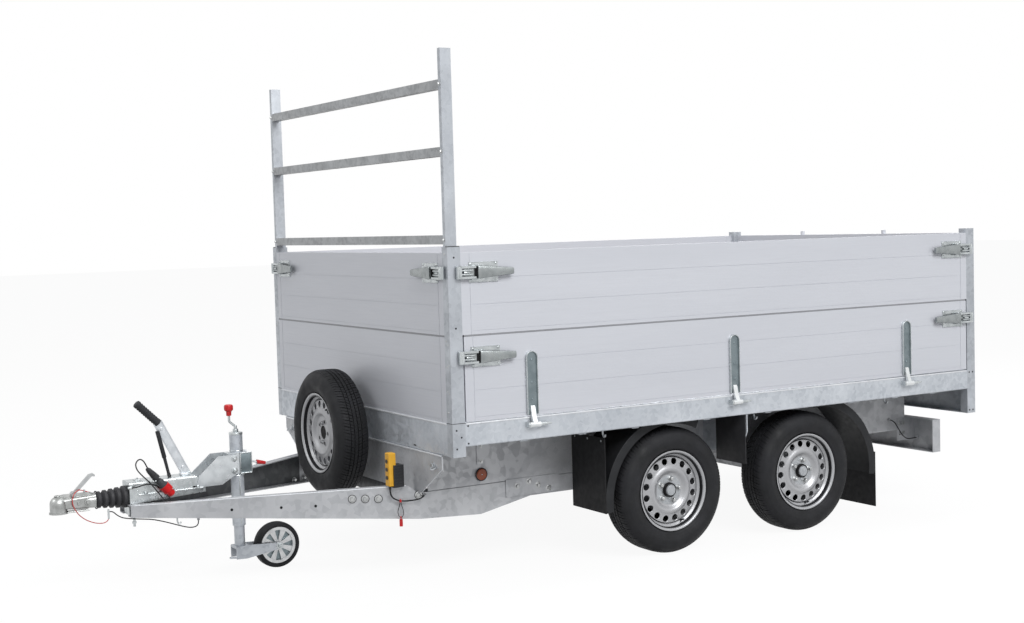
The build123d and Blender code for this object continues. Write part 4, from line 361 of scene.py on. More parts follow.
class Solid:
    """Closed forms gathered in one mesh, drawn in millimetres of a local frame."""

    def __init__(self, place=None):
        self.bm = bmesh.new()
        self.place = place or Matrix.Identity(4)

    def skin(self, rings, caps=True):
        """Skins a list of rings of points with equal counts."""
        made = [[self.bm.verts.new(p) for p in ring] for ring in rings]
        count = len(made[0])
        for low, high in zip(made, made[1:]):
            for i in range(count):
                j = (i + 1) % count
                self.bm.faces.new((low[i], low[j], high[j], high[i]))
        if caps:
            self.bm.faces.new(made[0][::-1])
            self.bm.faces.new(made[-1])
        bmesh.ops.transform(self.bm, matrix=self.place, verts=[v for ring in made for v in ring])
        return self

    def box(self, x, y, z, bevel=0):
        (x0, x1), (y0, y1), (z0, z1) = sorted(x), sorted(y), sorted(z)
        c = min(bevel, (x1 - x0) / 2.01, (y1 - y0) / 2.01, (z1 - z0) / 2.01)
        if c <= 0:
            ring = [(x0, y0), (x1, y0), (x1, y1), (x0, y1)]
            return self.skin([[(a, b, z0) for a, b in ring], [(a, b, z1) for a, b in ring]])

        def octagon(inset):
            a0, a1, b0, b1 = x0 + inset, x1 - inset, y0 + inset, y1 - inset
            return [(a0 + c, b0), (a1 - c, b0), (a1, b0 + c), (a1, b1 - c), (a1 - c, b1), (a0 + c, b1),
                    (a0, b1 - c), (a0, b0 + c)]
        levels = ((z0, c * 0.6), (z0 + c, 0), (z1 - c, 0), (z1, c * 0.6))
        return self.skin([[(a, b, z) for a, b in octagon(inset)] for z, inset in levels])

    def lathe(self, profile, origin=ORIGIN, axis=Z_AXIS, sides=24, hollow=False):
        """Turns (along, radius) pairs about an axis; the ends are capped, or joined if hollow."""
        local = turned(origin, Vector(axis).orthogonal(), axis)
        rings = [[local @ Vector((a, b, along)) for a, b in circle(radius, sides)] for along,
                 radius in profile]
        return self.skin(rings + [rings[0]], caps=False) if hollow else self.skin(rings)

    def spun(self, outline, sides):
        """Turns a closed outline of (x, radius) pairs about the X axis."""
        return self.skin([[(x, a, b) for a, b in circle(r, sides)] for x, r in outline + outline[:1]],
                         caps=False)

    def rod(self, start, end, radius, end_radius=None, sides=16, round_edge=0):
        a, b = Vector(start), Vector(end)
        length, last = (b - a).length, radius if end_radius is None else end_radius
        if round_edge:
            e = min(round_edge, length / 2.2, radius * 0.9)
            line = [(0, radius - e), (e * 0.3, radius - e * 0.3), (e, radius), (length - e, last),
                    (length - e * 0.3, last - e * 0.3), (length, last - e)]
        else:
            line = [(0, radius), (length, last)]
        return self.lathe(line, a, b - a, sides)

    def chain(self, points, radius, sides):
        """Rods from point to point."""
        for start, end in zip(points, points[1:]):
            self.rod(start, end, radius, sides=sides)

    def hexagon(self, start, end, across):
        """Bolt head or nut, given across its flats."""
        a, b = Vector(start), Vector(end)
        length, r = (b - a).length, across / math.sqrt(3)
        return self.lathe([(0, r * 0.96), (length * 0.1, r), (length * 0.75, r), (length, r * 0.84)], a,
                          b - a, 6)

    def bolt(self, seat, out, across=13, washer=True, thread=0):
        """Hexagon bolt head on its washer; out points away from the surface."""
        seat, out = Vector(seat), Vector(out).normalized()
        if washer:
            self.rod(seat - out * 0.4, seat + out * 1.6, across * 0.9, sides=20, round_edge=0.4)
        self.hexagon(seat + out * (1.6 if washer else -0.3), seat + out * (across * 0.62 + 1), across)
        if thread:
            top = seat + out * (across * 0.62)
            self.rod(top, top + out * thread, across * 0.3, sides=12, round_edge=0.6)
        return self

    def dome(self, seat, out, radius, height):
        """Rivet or button head."""
        quarter = [math.pi / 2 * i / 6 for i in range(1, 6)]
        line = [(height * math.sin(a), radius * math.cos(a)) for a in quarter]
        return self.lathe([(-0.5, radius * 0.97), (0.3, radius), *line, (height, radius * 0.12)], seat, out,
                          16)

    def slab(self, points, low, high):
        """Extrudes an outline in x and z along y."""
        return self.skin([[(x, y, z) for x, z in points] for y in (low, high)])

    def torus(self, centre, axis, radius, thickness, sides=32, round_sides=10):
        local = turned(centre, Vector(axis).orthogonal(), axis)
        section = circle(thickness, round_sides)
        rings = [[local @ Vector(((radius + out) * c, (radius + out) * s, rise)) for out, rise in section]
                 for c, s in circle(1, sides)]
        return self.skin(rings + [rings[0]], caps=False)

    def mesh(self, name, merge=0.001):
        """The forms as one mesh, in metres."""
        bm = self.bm
        bmesh.ops.remove_doubles(bm, verts=bm.verts, dist=merge)
        bmesh.ops.recalc_face_normals(bm, faces=bm.faces)
        bmesh.ops.scale(bm, vec=(0.001, 0.001, 0.001), verts=bm.verts)
        mesh = bpy.data.meshes.new(name)
        bm.to_mesh(mesh)
        bm.free()
        return mesh

    def piece(self, name, material, slot, *node, body="chassis", smooth=35):
        finished(self.mesh(name), name, material, slot, *node, body=body, smooth=smooth)


def finished(mesh, name, material, slot, *node, body="chassis", smooth=35, place=None):
    """A piece riding on a body, and standing for CAD nodes where it replaces any."""
    mesh.shade_smooth()
    mesh.set_sharp_from_angle(angle=math.radians(smooth))
    mesh.materials.append(material)
    made = bpy.data.objects.new(name, mesh)
    if place:
        place = place.copy()
        place.translation = place.translation / 1000
        made.matrix_world = place
    add_to_scene(made)
    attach(made, body)
    if node:
        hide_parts(*node)


def cord(name, points, diameter, material):
    """A NURBS curve through the cord's route, in the cord's own CAD node's place."""
    curve = bpy.data.curves.new(f"{name}_line", "CURVE")
    curve.dimensions = "3D"
    curve.bevel_depth = diameter / 2000
    curve.bevel_resolution = 4
    curve.resolution_u = 12
    curve.use_fill_caps = True
    spline = curve.splines.new("NURBS")
    spline.points.add(len(points) - 1)
    for spot, point in zip(spline.points, points):
        x, y, z = at(*point)
        spot.co = (x / 1000, y / 1000, z / 1000, 1)
    spline.order_u = 3
    spline.use_endpoint_u = True
    made = bpy.data.objects.new(f"{name}_run", curve)
    add_to_scene(made)
    curve.materials.append(material)
    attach(made, "chassis")
    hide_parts(name)


# ---- cords
# Diameter, length, look, slot, stiffness, and the route as it lies: ahead of the bed's front, y and z.
ROUTES = {
    "breakaway_cable": (4, 353, RED_CABLE, "red_plastic", "medium", (
        (1251, 35, 352), (1251, 35, 337), (1270, 35, 325), (1294, 35, 326), (1322, 35, 333), (1362, 36, 354),
        (1396, 37, 390), (1413, 37, 436), (1403, 33, 470), (1378, 18, 487), (1348.3, 5, 477),
        (1326, 0, 467))),
    "brake_lead": (5, 436, CABLE, "cable_black", "medium", (
        (1247, 35, 374), (1233, 35, 374), (1216, 36, 356), (1198, 39, 343), (1178, 43, 336), (1146, 53, 331),
        (1108, 72, 328), (1070, 97, 326), (1030, 122, 316), (990, 146, 303), (955, 167, 291),
        (926, 185, 284), (903, 196, 286), (889, 199, 298), (889, 199, 316))),
    "plug_lead": (6, 645, CABLE, "cable_black", "medium", (
        (1146, 64, 474), (1132, 78, 476), (1098, 80, 485), (1062, 72, 483), (1030, 63, 469),
        (1003, 61.5, 444), (980, 66, 420), (974, 84, 396), (990, 104, 390), (1018, 116, 412),
        (1050, 120, 456), (1082, 117, 500), (1112, 110, 532), (1134, 103, 560), (1138, 97, 589),
        (1118, 93, 608), (1096, 91, 596), (1077.93, 90, 552.63), (1045, 90, 515))),
    "pendant_lead": (7, 204, CABLE, "cable_black", "medium", (
        (121, 615, 425), (121, 615, 395), (98, 628, 374), (62, 642, 367), (32, 664, 371),
        (8, 683, 377), (-10, 681.5, 383), (-24, 668, 386))),
    "lamp_lead": (6, 255, CABLE, "cable_black", "medium", (
        (-2961, 668, 463), (-2961, 694, 463), (-2978, 708, 426), (-3013, 706, 378),
        (-3060, 696, 351), (-3106, 690, 350), (-3140, 690, 350))),
}
LANYARD = ((-3, 364), (-3, 352), (-9, 337), (-13.5, 322), (-12, 309), (-9.5, 300), (-3.5, 293.8),
           (3.5, 293.8), (9.5, 300), (12.5, 310), (12, 324), (8, 339), (3, 352), (3, 364))
LOOP_WAY = math.radians(150)      # of the key loop's plane, seen from above
ROUTES["key_loop"] = (3, 154, CABLE, "cable_black", "limp", tuple(
    (80 + math.cos(LOOP_WAY) * across, 635 + math.sin(LOOP_WAY) * across, z) for across, z in LANYARD))
for name, (diameter, length, look, slot_name, stiffness, points) in ROUTES.items():
    cord(name, points, diameter, look)


# ---- wheels
TREAD_BASE = 300
CROWN = 307.9
PITCHES = 62              # of the tread round the tyre
TYRE_HALF = 97
RELIEF = ((203, 210, 1.2), (214, 232, -0.9), (268, 272, 0.8), (277, 280, 0.8), (285, 300, -0.6))
BLOCK_START, BLOCK_END, GROOVE, LAST_END = 0.04, 0.42, 0.06, 0.90      # shares of a pitch


def arc3(first, middle, last, count):
    """Points on the arc through three (along, radius) pairs."""
    (ax, ay), (bx, by), (cx, cy) = first, middle, last
    d = 2 * (ax * (by - cy) + bx * (cy - ay) + cx * (ay - by))
    a2, b2, c2 = ax * ax + ay * ay, bx * bx + by * by, cx * cx + cy * cy
    ux = (a2 * (by - cy) + b2 * (cy - ay) + c2 * (ay - by)) / d
    uy = (a2 * (cx - bx) + b2 * (ax - cx) + c2 * (bx - ax)) / d
    r = math.hypot(ax - ux, ay - uy)
    start, end = math.atan2(ay - uy, ax - ux), math.atan2(cy - uy, cx - ux)
    turns = [start + (end - start) * i / count for i in range(count + 1)]
    return [(ux + r * math.cos(a), uy + r * math.sin(a)) for a in turns]


def tyre_mesh():
    """Tyre about the X axis: sidewalls with raised rings, and a tread of separate blocks."""
    solid = Solid()
    wall = []
    for x, r in arc3((75.7, 195.5), (TYRE_HALF, 243), (74, 293), 26):
        relief = next((rise for low, high, rise in RELIEF if low < r < high), 0)
        wall.append((x + min(relief, TYRE_HALF - x), r))
    half = wall + [(68, 297), (58, 299.5), (44, TREAD_BASE + 0.4)]
    inner = [(-75.7, 178.4), (-56, 178.4), (-56, 199.5), (-84, 246), (-62, 290), (62, 290), (84, 246),
             (56, 199.5), (56, 178.4), (75.7, 178.4)]
    solid.spun(half + [(-x, r) for x, r in half[::-1]] + inner, 144)
    step = math.tau / PITCHES

    def block(start, end, top, skew):
        """A tread block: its outline across the tread, swept along the tread from start to end."""
        outline = [(top[0][0], TREAD_BASE - 3)] + top + [(top[-1][0] * 0.97, top[-1][1] - 4)]
        rings = []
        for turn in (start, end):
            turns = [(x, r, turn + skew * x / WHEEL_R) for x, r in outline]
            rings.append([(x, r * math.cos(a), r * math.sin(a)) for x, r, a in turns])
        solid.skin(rings)

    for index in range(PITCHES):
        a = index * step
        for side in BOTH:
            first = a + (0 if side > 0 else 0.5 * step)
            shoulder = [(side * x, r) for x, r in ((36, 307.5), (48, 306.6), (57, 304.8), (66, 301),
                                                   (73, 294.5))]
            rib = [(side * 14, CROWN), (side * 31, CROWN)]
            for part in (shoulder[::side], rib[::side]):
                block(first + BLOCK_START * step, first + BLOCK_END * step, part, 0.3 * side)
                block(first + (BLOCK_END + GROOVE) * step, first + LAST_END * step, part, 0.3 * side)
        for low, high in ((0, 0.46), (0.52, 0.97)):
            block(a + low * step, a + high * step, [(-8.5, CROWN), (8.5, CROWN)], -0.5)
    return solid.mesh("tyre_form")


def around(count, radius, phase):
    """(y, z) places round a wheel."""
    for index in range(count):
        a = math.tau * index / count + math.radians(phase)
        yield radius * math.sin(a), radius * math.cos(a)


RIM_FACE = [(16, 161.5), (30, 161), (42, 160.6), (48, 160)]
RIM_BAND = [(50.5, 160), (54.5, 122)]
RIM_DISH = [(57, 116), (60.5, 110), (62, 104), (61, 98), (56, 91), (50, 85), (45.5, 79),
            (43.5, 73), (43, 66), (43, 33)]
BARREL = [(84, 195.4), (84.8, 193), (83.6, 189), (80, 185), (76, 182.6), (62, 181), (57.5, 179),
          (53, 171), (49, 166.5), (44, 164.6), (8, 162.6), (-38, 162.6), (-50, 168), (-60, 179.5),
          (-76, 182.6), (-81, 186), (-84, 190), (-84, 195.4)]
WINDOWS = 16
WINDOW_R = 16
WINDOW_MID = 141
SHEET = 4


def rim_mesh():
    """Pressed steel wheel about the X axis: rolled barrel, and a disc with windows and a hub dish."""
    solid = Solid()
    half = math.pi * WINDOW_MID / WINDOWS
    reach = (RIM_BAND[0][1] - RIM_BAND[1][1]) / 2
    corner = math.degrees(math.atan2(reach, half))
    quarter = [0, corner / 3, corner * 2 / 3, corner, corner + (90 - corner) / 3,
               corner + (90 - corner) * 2 / 3]
    angles = quarter + [90] + [180 - a for a in quarter[:0:-1]]
    angles += [180 + a for a in angles]
    across = sorted(reach / math.tan(math.radians(a)) for a in quarter[3:]) + [half]
    across = sorted({round(v, 6) for v in across if v < half - 1e-6} | {0})
    spokes = [-half] + [-v for v in across[:0:-1]] + across
    turns = []
    for sector in range(WINDOWS):
        middle = math.tau * sector / WINDOWS
        turns += [middle + v / WINDOW_MID for v in spokes]

    def ring(x, r):
        return [(x, r * math.cos(t), r * math.sin(t)) for t in turns]

    def slope(r):
        (x_out, r_out), (x_in, r_in) = RIM_BAND
        return x_in + (x_out - x_in) * (r - r_in) / (r_out - r_in)

    back = [(x - SHEET, r) for x, r in RIM_FACE + RIM_BAND[:1]]
    outer = [ring(x, r - (2.5 if i < 4 else 0)) for i, (x, r) in enumerate(back)]
    front = [ring(x, r) for x, r in RIM_FACE + RIM_BAND[:1]]
    solid.skin(outer[::-1] + front, caps=False)
    dish = RIM_BAND[1:] + RIM_DISH
    solid.skin([ring(x, r) for x, r in dish] + [ring(x - SHEET, r) for x, r in dish[::-1]], caps=False)
    for sector in range(WINDOWS):
        middle = math.tau * sector / WINDOWS
        loops = {}
        for depth in (0, -SHEET):
            for kind in ("edge", "lip", "hole"):
                loop = []
                for a in angles:
                    c, d = math.cos(math.radians(a)), math.sin(math.radians(a))
                    far = min(half / abs(c) if abs(c) > 1e-9 else 1e9,
                              reach / abs(d) if abs(d) > 1e-9 else 1e9)
                    size = {"edge": far, "lip": WINDOW_R + 1.6, "hole": WINDOW_R}[kind]
                    r = WINDOW_MID + size * d
                    turn = middle + size * c / WINDOW_MID
                    x = slope(r) + depth + (-1.6 if kind == "hole" and depth == 0 else 0)
                    loop.append((x, r * math.cos(turn), r * math.sin(turn)))
                loops[depth, kind] = loop
        solid.skin([loops[0, "edge"], loops[0, "lip"], loops[0, "hole"], loops[-SHEET, "hole"],
                      loops[-SHEET, "edge"]], caps=False)
    outside = [(82, 195.4), (81.2, 191), (78, 187.2), (74, 185.4), (60, 184), (54.5, 181), (50, 173.5),
               (46.5, 169.4), (42, 167.6), (8, 165.6), (-38, 165.6), (-51, 171.5), (-60.5, 183), (-75, 185.4),
               (-79, 188.5), (-81.5, 192), (-82, 195.4)]
    solid.spun(BARREL + outside[::-1], 96)
    return solid.mesh("rim_form", 0.01)


SPARE = turned(at(124, 0, 627), X_AXIS, Z_AXIS)
SPARE_SHARE = 0.86        # the spare's width, of a road wheel's
WHEELS = []               # each one's name, its frame with x outboard, and the turn of its pattern in degrees
for side, side_name in SIDES:
    for place, end_name, turn in zip(AXLE_PLACES, ("front", "rear"), (11, 3)):
        local = turned((X_FRONT - place, side * WHEEL_Y, WHEEL_R), (0, side, 0), Z_AXIS)
        WHEELS.append((f"{end_name}_{side_name}", local, turn))


def wheel_part(form, turn, share=1):
    """Copy of a wheel's form, turned about its axle and narrowed from its inboard side."""
    mesh = form.copy()
    mesh.transform(Matrix.Rotation(math.radians(turn), 4, "X"))
    face = TYRE_HALF / 1000
    narrowed = Matrix.Translation((face, 0, 0)) @ Matrix.Diagonal((share, 1, 1, 1))
    mesh.transform(narrowed @ Matrix.Translation((-face, 0, 0)))
    return mesh


def on_wheels(form, kind, part, material, slot, smooth, spare_turn):
    """The form on the four wheels and, narrower, on the spare."""
    for name, local, turn in WHEELS:
        finished(wheel_part(form, turn), f"{kind}_{name}_{part}", material, slot, f"{kind}_{name}",
                 body=f"wheel_{name}", smooth=smooth, place=local)
    finished(wheel_part(form, spare_turn, SPARE_SHARE), f"spare_{kind}_{part}", material, slot,
             f"spare_{kind}", smooth=smooth, place=SPARE)


on_wheels(tyre_mesh(), "tyre", "tread", TYRE, "tyre_rubber", 32, 20)
on_wheels(rim_mesh(), "rim", "disc", RIM, "silver_rim", 40, 8)
HUB_X = 43                # the face that the wheel bolts hold
for name, local, turn in WHEELS:
    body = f"wheel_{name}"
    drum = Solid(local)
    drum.lathe([(-22, 60), (-22, 117), (30, 117), (36, 112), (39, 104), (39, 60)], ORIGIN, X_AXIS, 64)
    drum.piece(f"brake_drum_{name}", HUB, "silver_rim", body=body, smooth=40)
    dish = Solid(local)
    dish.lathe([(HUB_X - 0.4, 72), (HUB_X + 0.4, 72), (HUB_X + 0.8, 68), (HUB_X + 0.8, 40),
                (HUB_X + 0.7, 33.4), (HUB_X - 0.4, 33)], ORIGIN, X_AXIS, 64)
    dish.piece(f"hub_face_{name}", HUB, "silver_rim", body=body)
    bolts = Solid(local)
    for y, z in around(5, 56, 12):
        bolts.lathe([(0, 14), (1.4, 14), (3.4, 12), (3.4, 9)], (HUB_X + 0.3, y, z), X_AXIS, 24)
        bolts.hexagon((HUB_X + 3.2, y, z), (HUB_X + 18, y, z), 19)
        bolts.dome((HUB_X + 17.8, y, z), X_AXIS, 7, 1.8)
    bolts.piece(f"wheel_bolts_{name}", BOLT, "zinc_fittings", body=body)
    # near-black ring round the grease cap: painted shade of the hub's bore
    ring = Solid(local)
    ring.lathe([(HUB_X, 36), (HUB_X + 14, 35), (HUB_X + 17, 33), (HUB_X + 17.6, 29), (HUB_X, 29)], ORIGIN,
               X_AXIS, 40)
    ring.piece(f"hub_bore_shade_{name}", HOLLOW_SHADE, "black_plastic", body=body)
    cap = Solid(local)
    cap.lathe([(HUB_X, 28.6), (HUB_X + 17, 28.2), (HUB_X + 22, 25), (HUB_X + 23.2, 20), (HUB_X + 23.6, 8),
               (HUB_X + 23.6, 2)], ORIGIN, X_AXIS, 36)
    cap.torus((HUB_X + 22.6, 0, 0), X_AXIS, 23, 0.9, 36, 8)
    cap.piece(f"grease_cap_{name}", HUB, "silver_rim", body=body)

# near-black discs shaped as dust shields behind the wheels' windows: painted shade of the dark space under
# the trailer
shield_shade = Solid()
for name, shield_shade.place, turn in WHEELS:
    shield_shade.lathe([(-30, 163.5), (-30, 90), (-24, 84), (-24, 60), (-27, 58), (-27, 84), (-33, 90),
                   (-33, 163.5)],
                  ORIGIN, X_AXIS, 64)
shield_shade.piece("brake_shield_shade", HOLLOW_SHADE, "black_plastic")


def valve(local, turn, body, name):
    """Rubber tyre valve with its cap, leaning out of the rim's well."""
    solid = Solid(local @ Matrix.Rotation(math.radians(turn), 4, "X"))
    solid.lathe([(0, 7.5), (3, 7.2), (6, 4.6), (26, 3.8), (27, 3.2), (27, 4.2), (36, 4.2), (38, 3),
                 (38.6, 1)],
                (46, 0, -169), (0.9, 0, 0.28), 16)
    solid.piece(name, BLACK, "black_plastic", body=body)


for name, local, turn in WHEELS:
    valve(local, turn * 2, f"wheel_{name}", f"valve_{name}")
valve(SPARE, 140, "chassis", "valve_spare")
SPARE_HUB = TYRE_HALF - (TYRE_HALF - HUB_X) * SPARE_SHARE
# the bores are near-black discs, painted shade in the spare's bolt holes and centre bore
seats, bore_shade, stub = Solid(SPARE), Solid(SPARE), Solid(SPARE)
for y, z in around(5, 56, 20):
    seats.torus((SPARE_HUB, y, z), X_AXIS, 11.5, 2.6, 28, 8)
    bore_shade.rod((SPARE_HUB - 3, y, z), (SPARE_HUB + 0.5, y, z), 9, sides=24)
for z in (47, -47):
    seats.hexagon((SPARE_HUB, 0, z), (SPARE_HUB + 12, 0, z), 17)
    seats.rod((SPARE_HUB + 11.5, 0, z), (SPARE_HUB + 22, 0, z), 5, round_edge=1)
seats.torus((SPARE_HUB - 0.5, 0, 0), X_AXIS, 34.5, 1.8, 48, 8)
seats.piece("spare_seats", RIM, "silver_rim")
bore_shade.rod((SPARE_HUB - 4.2, 0, 0), (SPARE_HUB - 2.4, 0, 0), 32.8, sides=40)
bore_shade.piece("spare_bore_shade", HOLLOW_SHADE, "black_plastic")
stub.lathe([(8, 30), (8, 44), (SPARE_HUB - 9, 44), (SPARE_HUB - 9, 76), (SPARE_HUB - 4, 76),
            (SPARE_HUB - 4, 30)],
           ORIGIN, X_AXIS, 40)
for z in (47, -47):
    stub.rod((SPARE_HUB - 6, 0, z), (SPARE_HUB + 1, 0, z), 5)
stub.piece("carrier_stub", BEAM_STEEL, "galvanised_steel")


# ---- latches and straps
UPPER_LATCH, LOWER_LATCH = 1413, 1040      # heights
FRONT_POST, REAR_POST = 64, 60             # the posts' depths along x
POST_IN = 960             # inner face of a corner post
BOARD_GAP = 6             # between a post and the end of a board
EYE_R, EYE_Z = 13, 717    # radius and height of a strap's hinge eye
STRAP_HALF, STRAP_LOW, STRAP_TOP = 28, 762, 1018      # half width, foot, and centre of the rounded top


def latch_frames():
    """Each latch: name, body, and frame with u from the board's end, v up, w outward."""
    front_end = X_FRONT - FRONT_POST - BOARD_GAP
    rear_end = REAR + REAR_POST + BOARD_GAP
    board_end = POST_IN - BOARD_GAP
    for side, side_name in SIDES:
        for height, level in ((UPPER_LATCH, "upper"), (LOWER_LATCH, "lower")):
            body = "chassis" if level == "upper" else f"{side_name}_board"
            for end_name, x, u in (("front", front_end, (-1, 0, 0)), ("rear", rear_end, X_AXIS)):
                yield f"{side_name}_{end_name}_{level}", body, (x, side * HALF_W, height), u, (0, side, 0)
            body = "chassis" if level == "upper" else "tail_board"
            yield (f"tail_{side_name}_{level}", body, (REAR, side * board_end, height), (0, -side, 0),
                   (-1, 0, 0))
        yield (f"front_{side_name}_upper", "chassis", at(0, side * board_end, UPPER_LATCH), (0, -side, 0),
               X_AXIS)


def swept(solid, path, section):
    """Sweeps a section of (out, height) pairs along a path in the local XZ plane; heights run along y."""
    rings = []
    for index, (x, z) in enumerate(path):
        (ax, az), (bx, bz) = path[max(index - 1, 0)], path[min(index + 1, len(path) - 1)]
        length = math.hypot(bx - ax, bz - az)
        nx, nz = -(bz - az) / length, (bx - ax) / length
        rings.append([(x + nx * out, height, z + nz * out) for out, height in section])
    solid.skin(rings)


def latch_pieces(name, body, local, node):
    """Over-centre latch: base plate with screws, claw and bail, a near-black block under the handle as
    painted shade, tapered pressed handle.
    """
    base = Solid(local)
    base.box((32, 181), (-45, 45), (0, 3), 0.9)
    for y in (45, -45):
        base.box((34, 179), (y, y * 0.92), (2, 5.2), 1)
    for x, y in ((42, 36), (171, 36), (42, -36), (171, -36)):
        base.rod((x, y, 2.6), (x, y, 3.8), 8, sides=20)
        base.dome((x, y, 3.6), Z_AXIS, 6, 2.6)
    base.box((-34, -10), (-29, 29), (14.5, 22.5), 2.6)
    base.box((-34, -27.5), (-29, 29), (5.5, 16), 1.4)
    for y in (-29, 17):
        base.box((-14, 62), (y, y + 12), (14.5, 22.5), 2.2)
    for y in (-9, 9):
        base.rod((-14, y, 18.5), (44, y, 18.5), 3.4, sides=14)
    base.rod((0, 0, 18), (30, 0, 18), 4.4, sides=14, round_edge=1)
    base.rod((-22, -21, 22.2), (-22, 21, 22.2), 3, sides=14, round_edge=1)
    for y in (-30, 30):
        base.box((54, 98), (y, y * 0.9), (3, 21), 1)
        base.rod((76, y * 0.88, 15), (76, y * 1.06, 15), 7, sides=20, round_edge=1)
    base.piece(f"latch_base_{name}", ZINC, "zinc_fittings", node, body=body)
    # near-black block: painted shade under the handle
    pivot = Solid(local)
    pivot.box((56, 74), (-22, 22), (3, 15.5), 1)
    pivot.piece(f"latch_pivot_shade_{name}", HOLLOW_SHADE, "black_plastic", node, body=body)
    handle = Solid(local)
    handle.box((4, 58), (-16.5, 16.5), (3, 12.5), 1)
    rings = []
    for x, half, sink in ((68, 26.5, 3), (70, 28, 0.6), (76, 28, 0), (240, 15.8, 0), (248, 15.2, 0.6),
                          (249.8, 14, 2.4)):
        top = 30.3 - sink
        edge = [(-half, 16.6), (-half, top - 6.5), (-half + 2.2, top - 2.2), (-half + 6.5, top)]
        rings.append([(x, y, z) for y, z in edge + [(-y, z) for y, z in edge[::-1]]])
    handle.skin(rings)
    handle.piece(f"latch_handle_{name}", HANDLE, "zinc_fittings", node, body=body, smooth=30)


for name, body, origin, u, w in latch_frames():
    local = turned(origin, u, w)
    if Vector(w).cross(Vector(u)).z < 0:
        local = local @ Matrix.Scale(-1, 4, Y_AXIS)
    latch_pieces(name, body, local, "upper_latches" if "upper" in name else f"{name.split('_')[0]}_fittings")


def arch(radius):
    """The strap's rounded top."""
    turns = [math.pi * i / 16 for i in range(17)]
    return [(radius * math.cos(a), STRAP_TOP + radius * math.sin(a)) for a in turns]


def strap_pieces(name, body, local, node):
    """Pressed channel strap with a rounded top, its screws, and the bright tongue down to the hinge eye."""
    strap, floor, tongue = Solid(local), Solid(local), Solid(local)
    path = [(STRAP_HALF, STRAP_LOW)] + arch(STRAP_HALF) + [(-STRAP_HALF, STRAP_LOW)]
    swept(strap, path, [(-2, 1), (2, 1), (2, 11.8), (0.9, 13), (-0.9, 13), (-2, 11.8)])
    strap.piece(f"strap_rim_{name}", ZINC, "zinc_fittings", node, body=body)
    # the web and its screws are darker zinc: the zinc's tone with painted shade of the channel's hollow
    floor.slab([(26.5, STRAP_LOW - 1)] + arch(26.5) + [(-26.5, STRAP_LOW - 1)], 0, 5)
    for z in (1008, 905, 830):
        floor.rod((0, 4.8, z), (0, 6, z), 6.5, sides=24)
        floor.dome((0, 5.8, z), Y_AXIS, 4.6, 2.2)
    floor.piece(f"strap_web_shade_{name}", RECESS_SHADE, "zinc_fittings", node, body=body)
    rings = []
    for z, low, high, half in ((800, 4, 6, 12), (792, 4, 10, 14), (756, 9, 17, 14), (728, 18, 30, 13.5),
                               (EYE_Z, 21, 34, 12.5)):
        rings.append([(-half, low, z), (half, low, z), (half - 2.5, high, z), (-half + 2.5, high, z)])
    tongue.skin(rings)
    tongue.lathe([(-28, 8.2), (-28, EYE_R - 1), (-27, EYE_R), (27, EYE_R), (28, EYE_R - 1), (28, 8.2)],
                 (0, 22, EYE_Z), X_AXIS, 28)
    tongue.piece(f"strap_tongue_{name}", BRIGHT, "zinc_fittings", node, body=body)


STRAP_PLACES = [(f"{side_name}_{index}", f"{side_name}_board", at(-place, side * HALF_W, 0), (side, 0, 0),
                 (0, side, 0))
                for side, side_name in SIDES for index, place in enumerate((410, 1575, 2740))]
STRAP_PLACES += [(f"tail_{side_name}", "tail_board", (REAR, side * 560, 0), Y_AXIS, (-1, 0, 0))
                 for side, side_name in SIDES]
for name, body, origin, u, out in STRAP_PLACES:
    axes = Matrix((Vector(u), Vector(out), Vector(Z_AXIS))).transposed().to_4x4()
    strap_pieces(name, body, Matrix.Translation(origin) @ axes, f"{name.split('_')[0]}_fittings")


# ---- fasteners of the frame
def drawbar_web(ahead):
    """Outer face of the left drawbar's web and its outward direction."""
    slope = (BEAM_OUT - 90) / (DRAWBAR_REACH + 10)
    out = Vector((slope, 1, 0)).normalized()
    return BEAM_OUT - slope * (ahead + 10), out


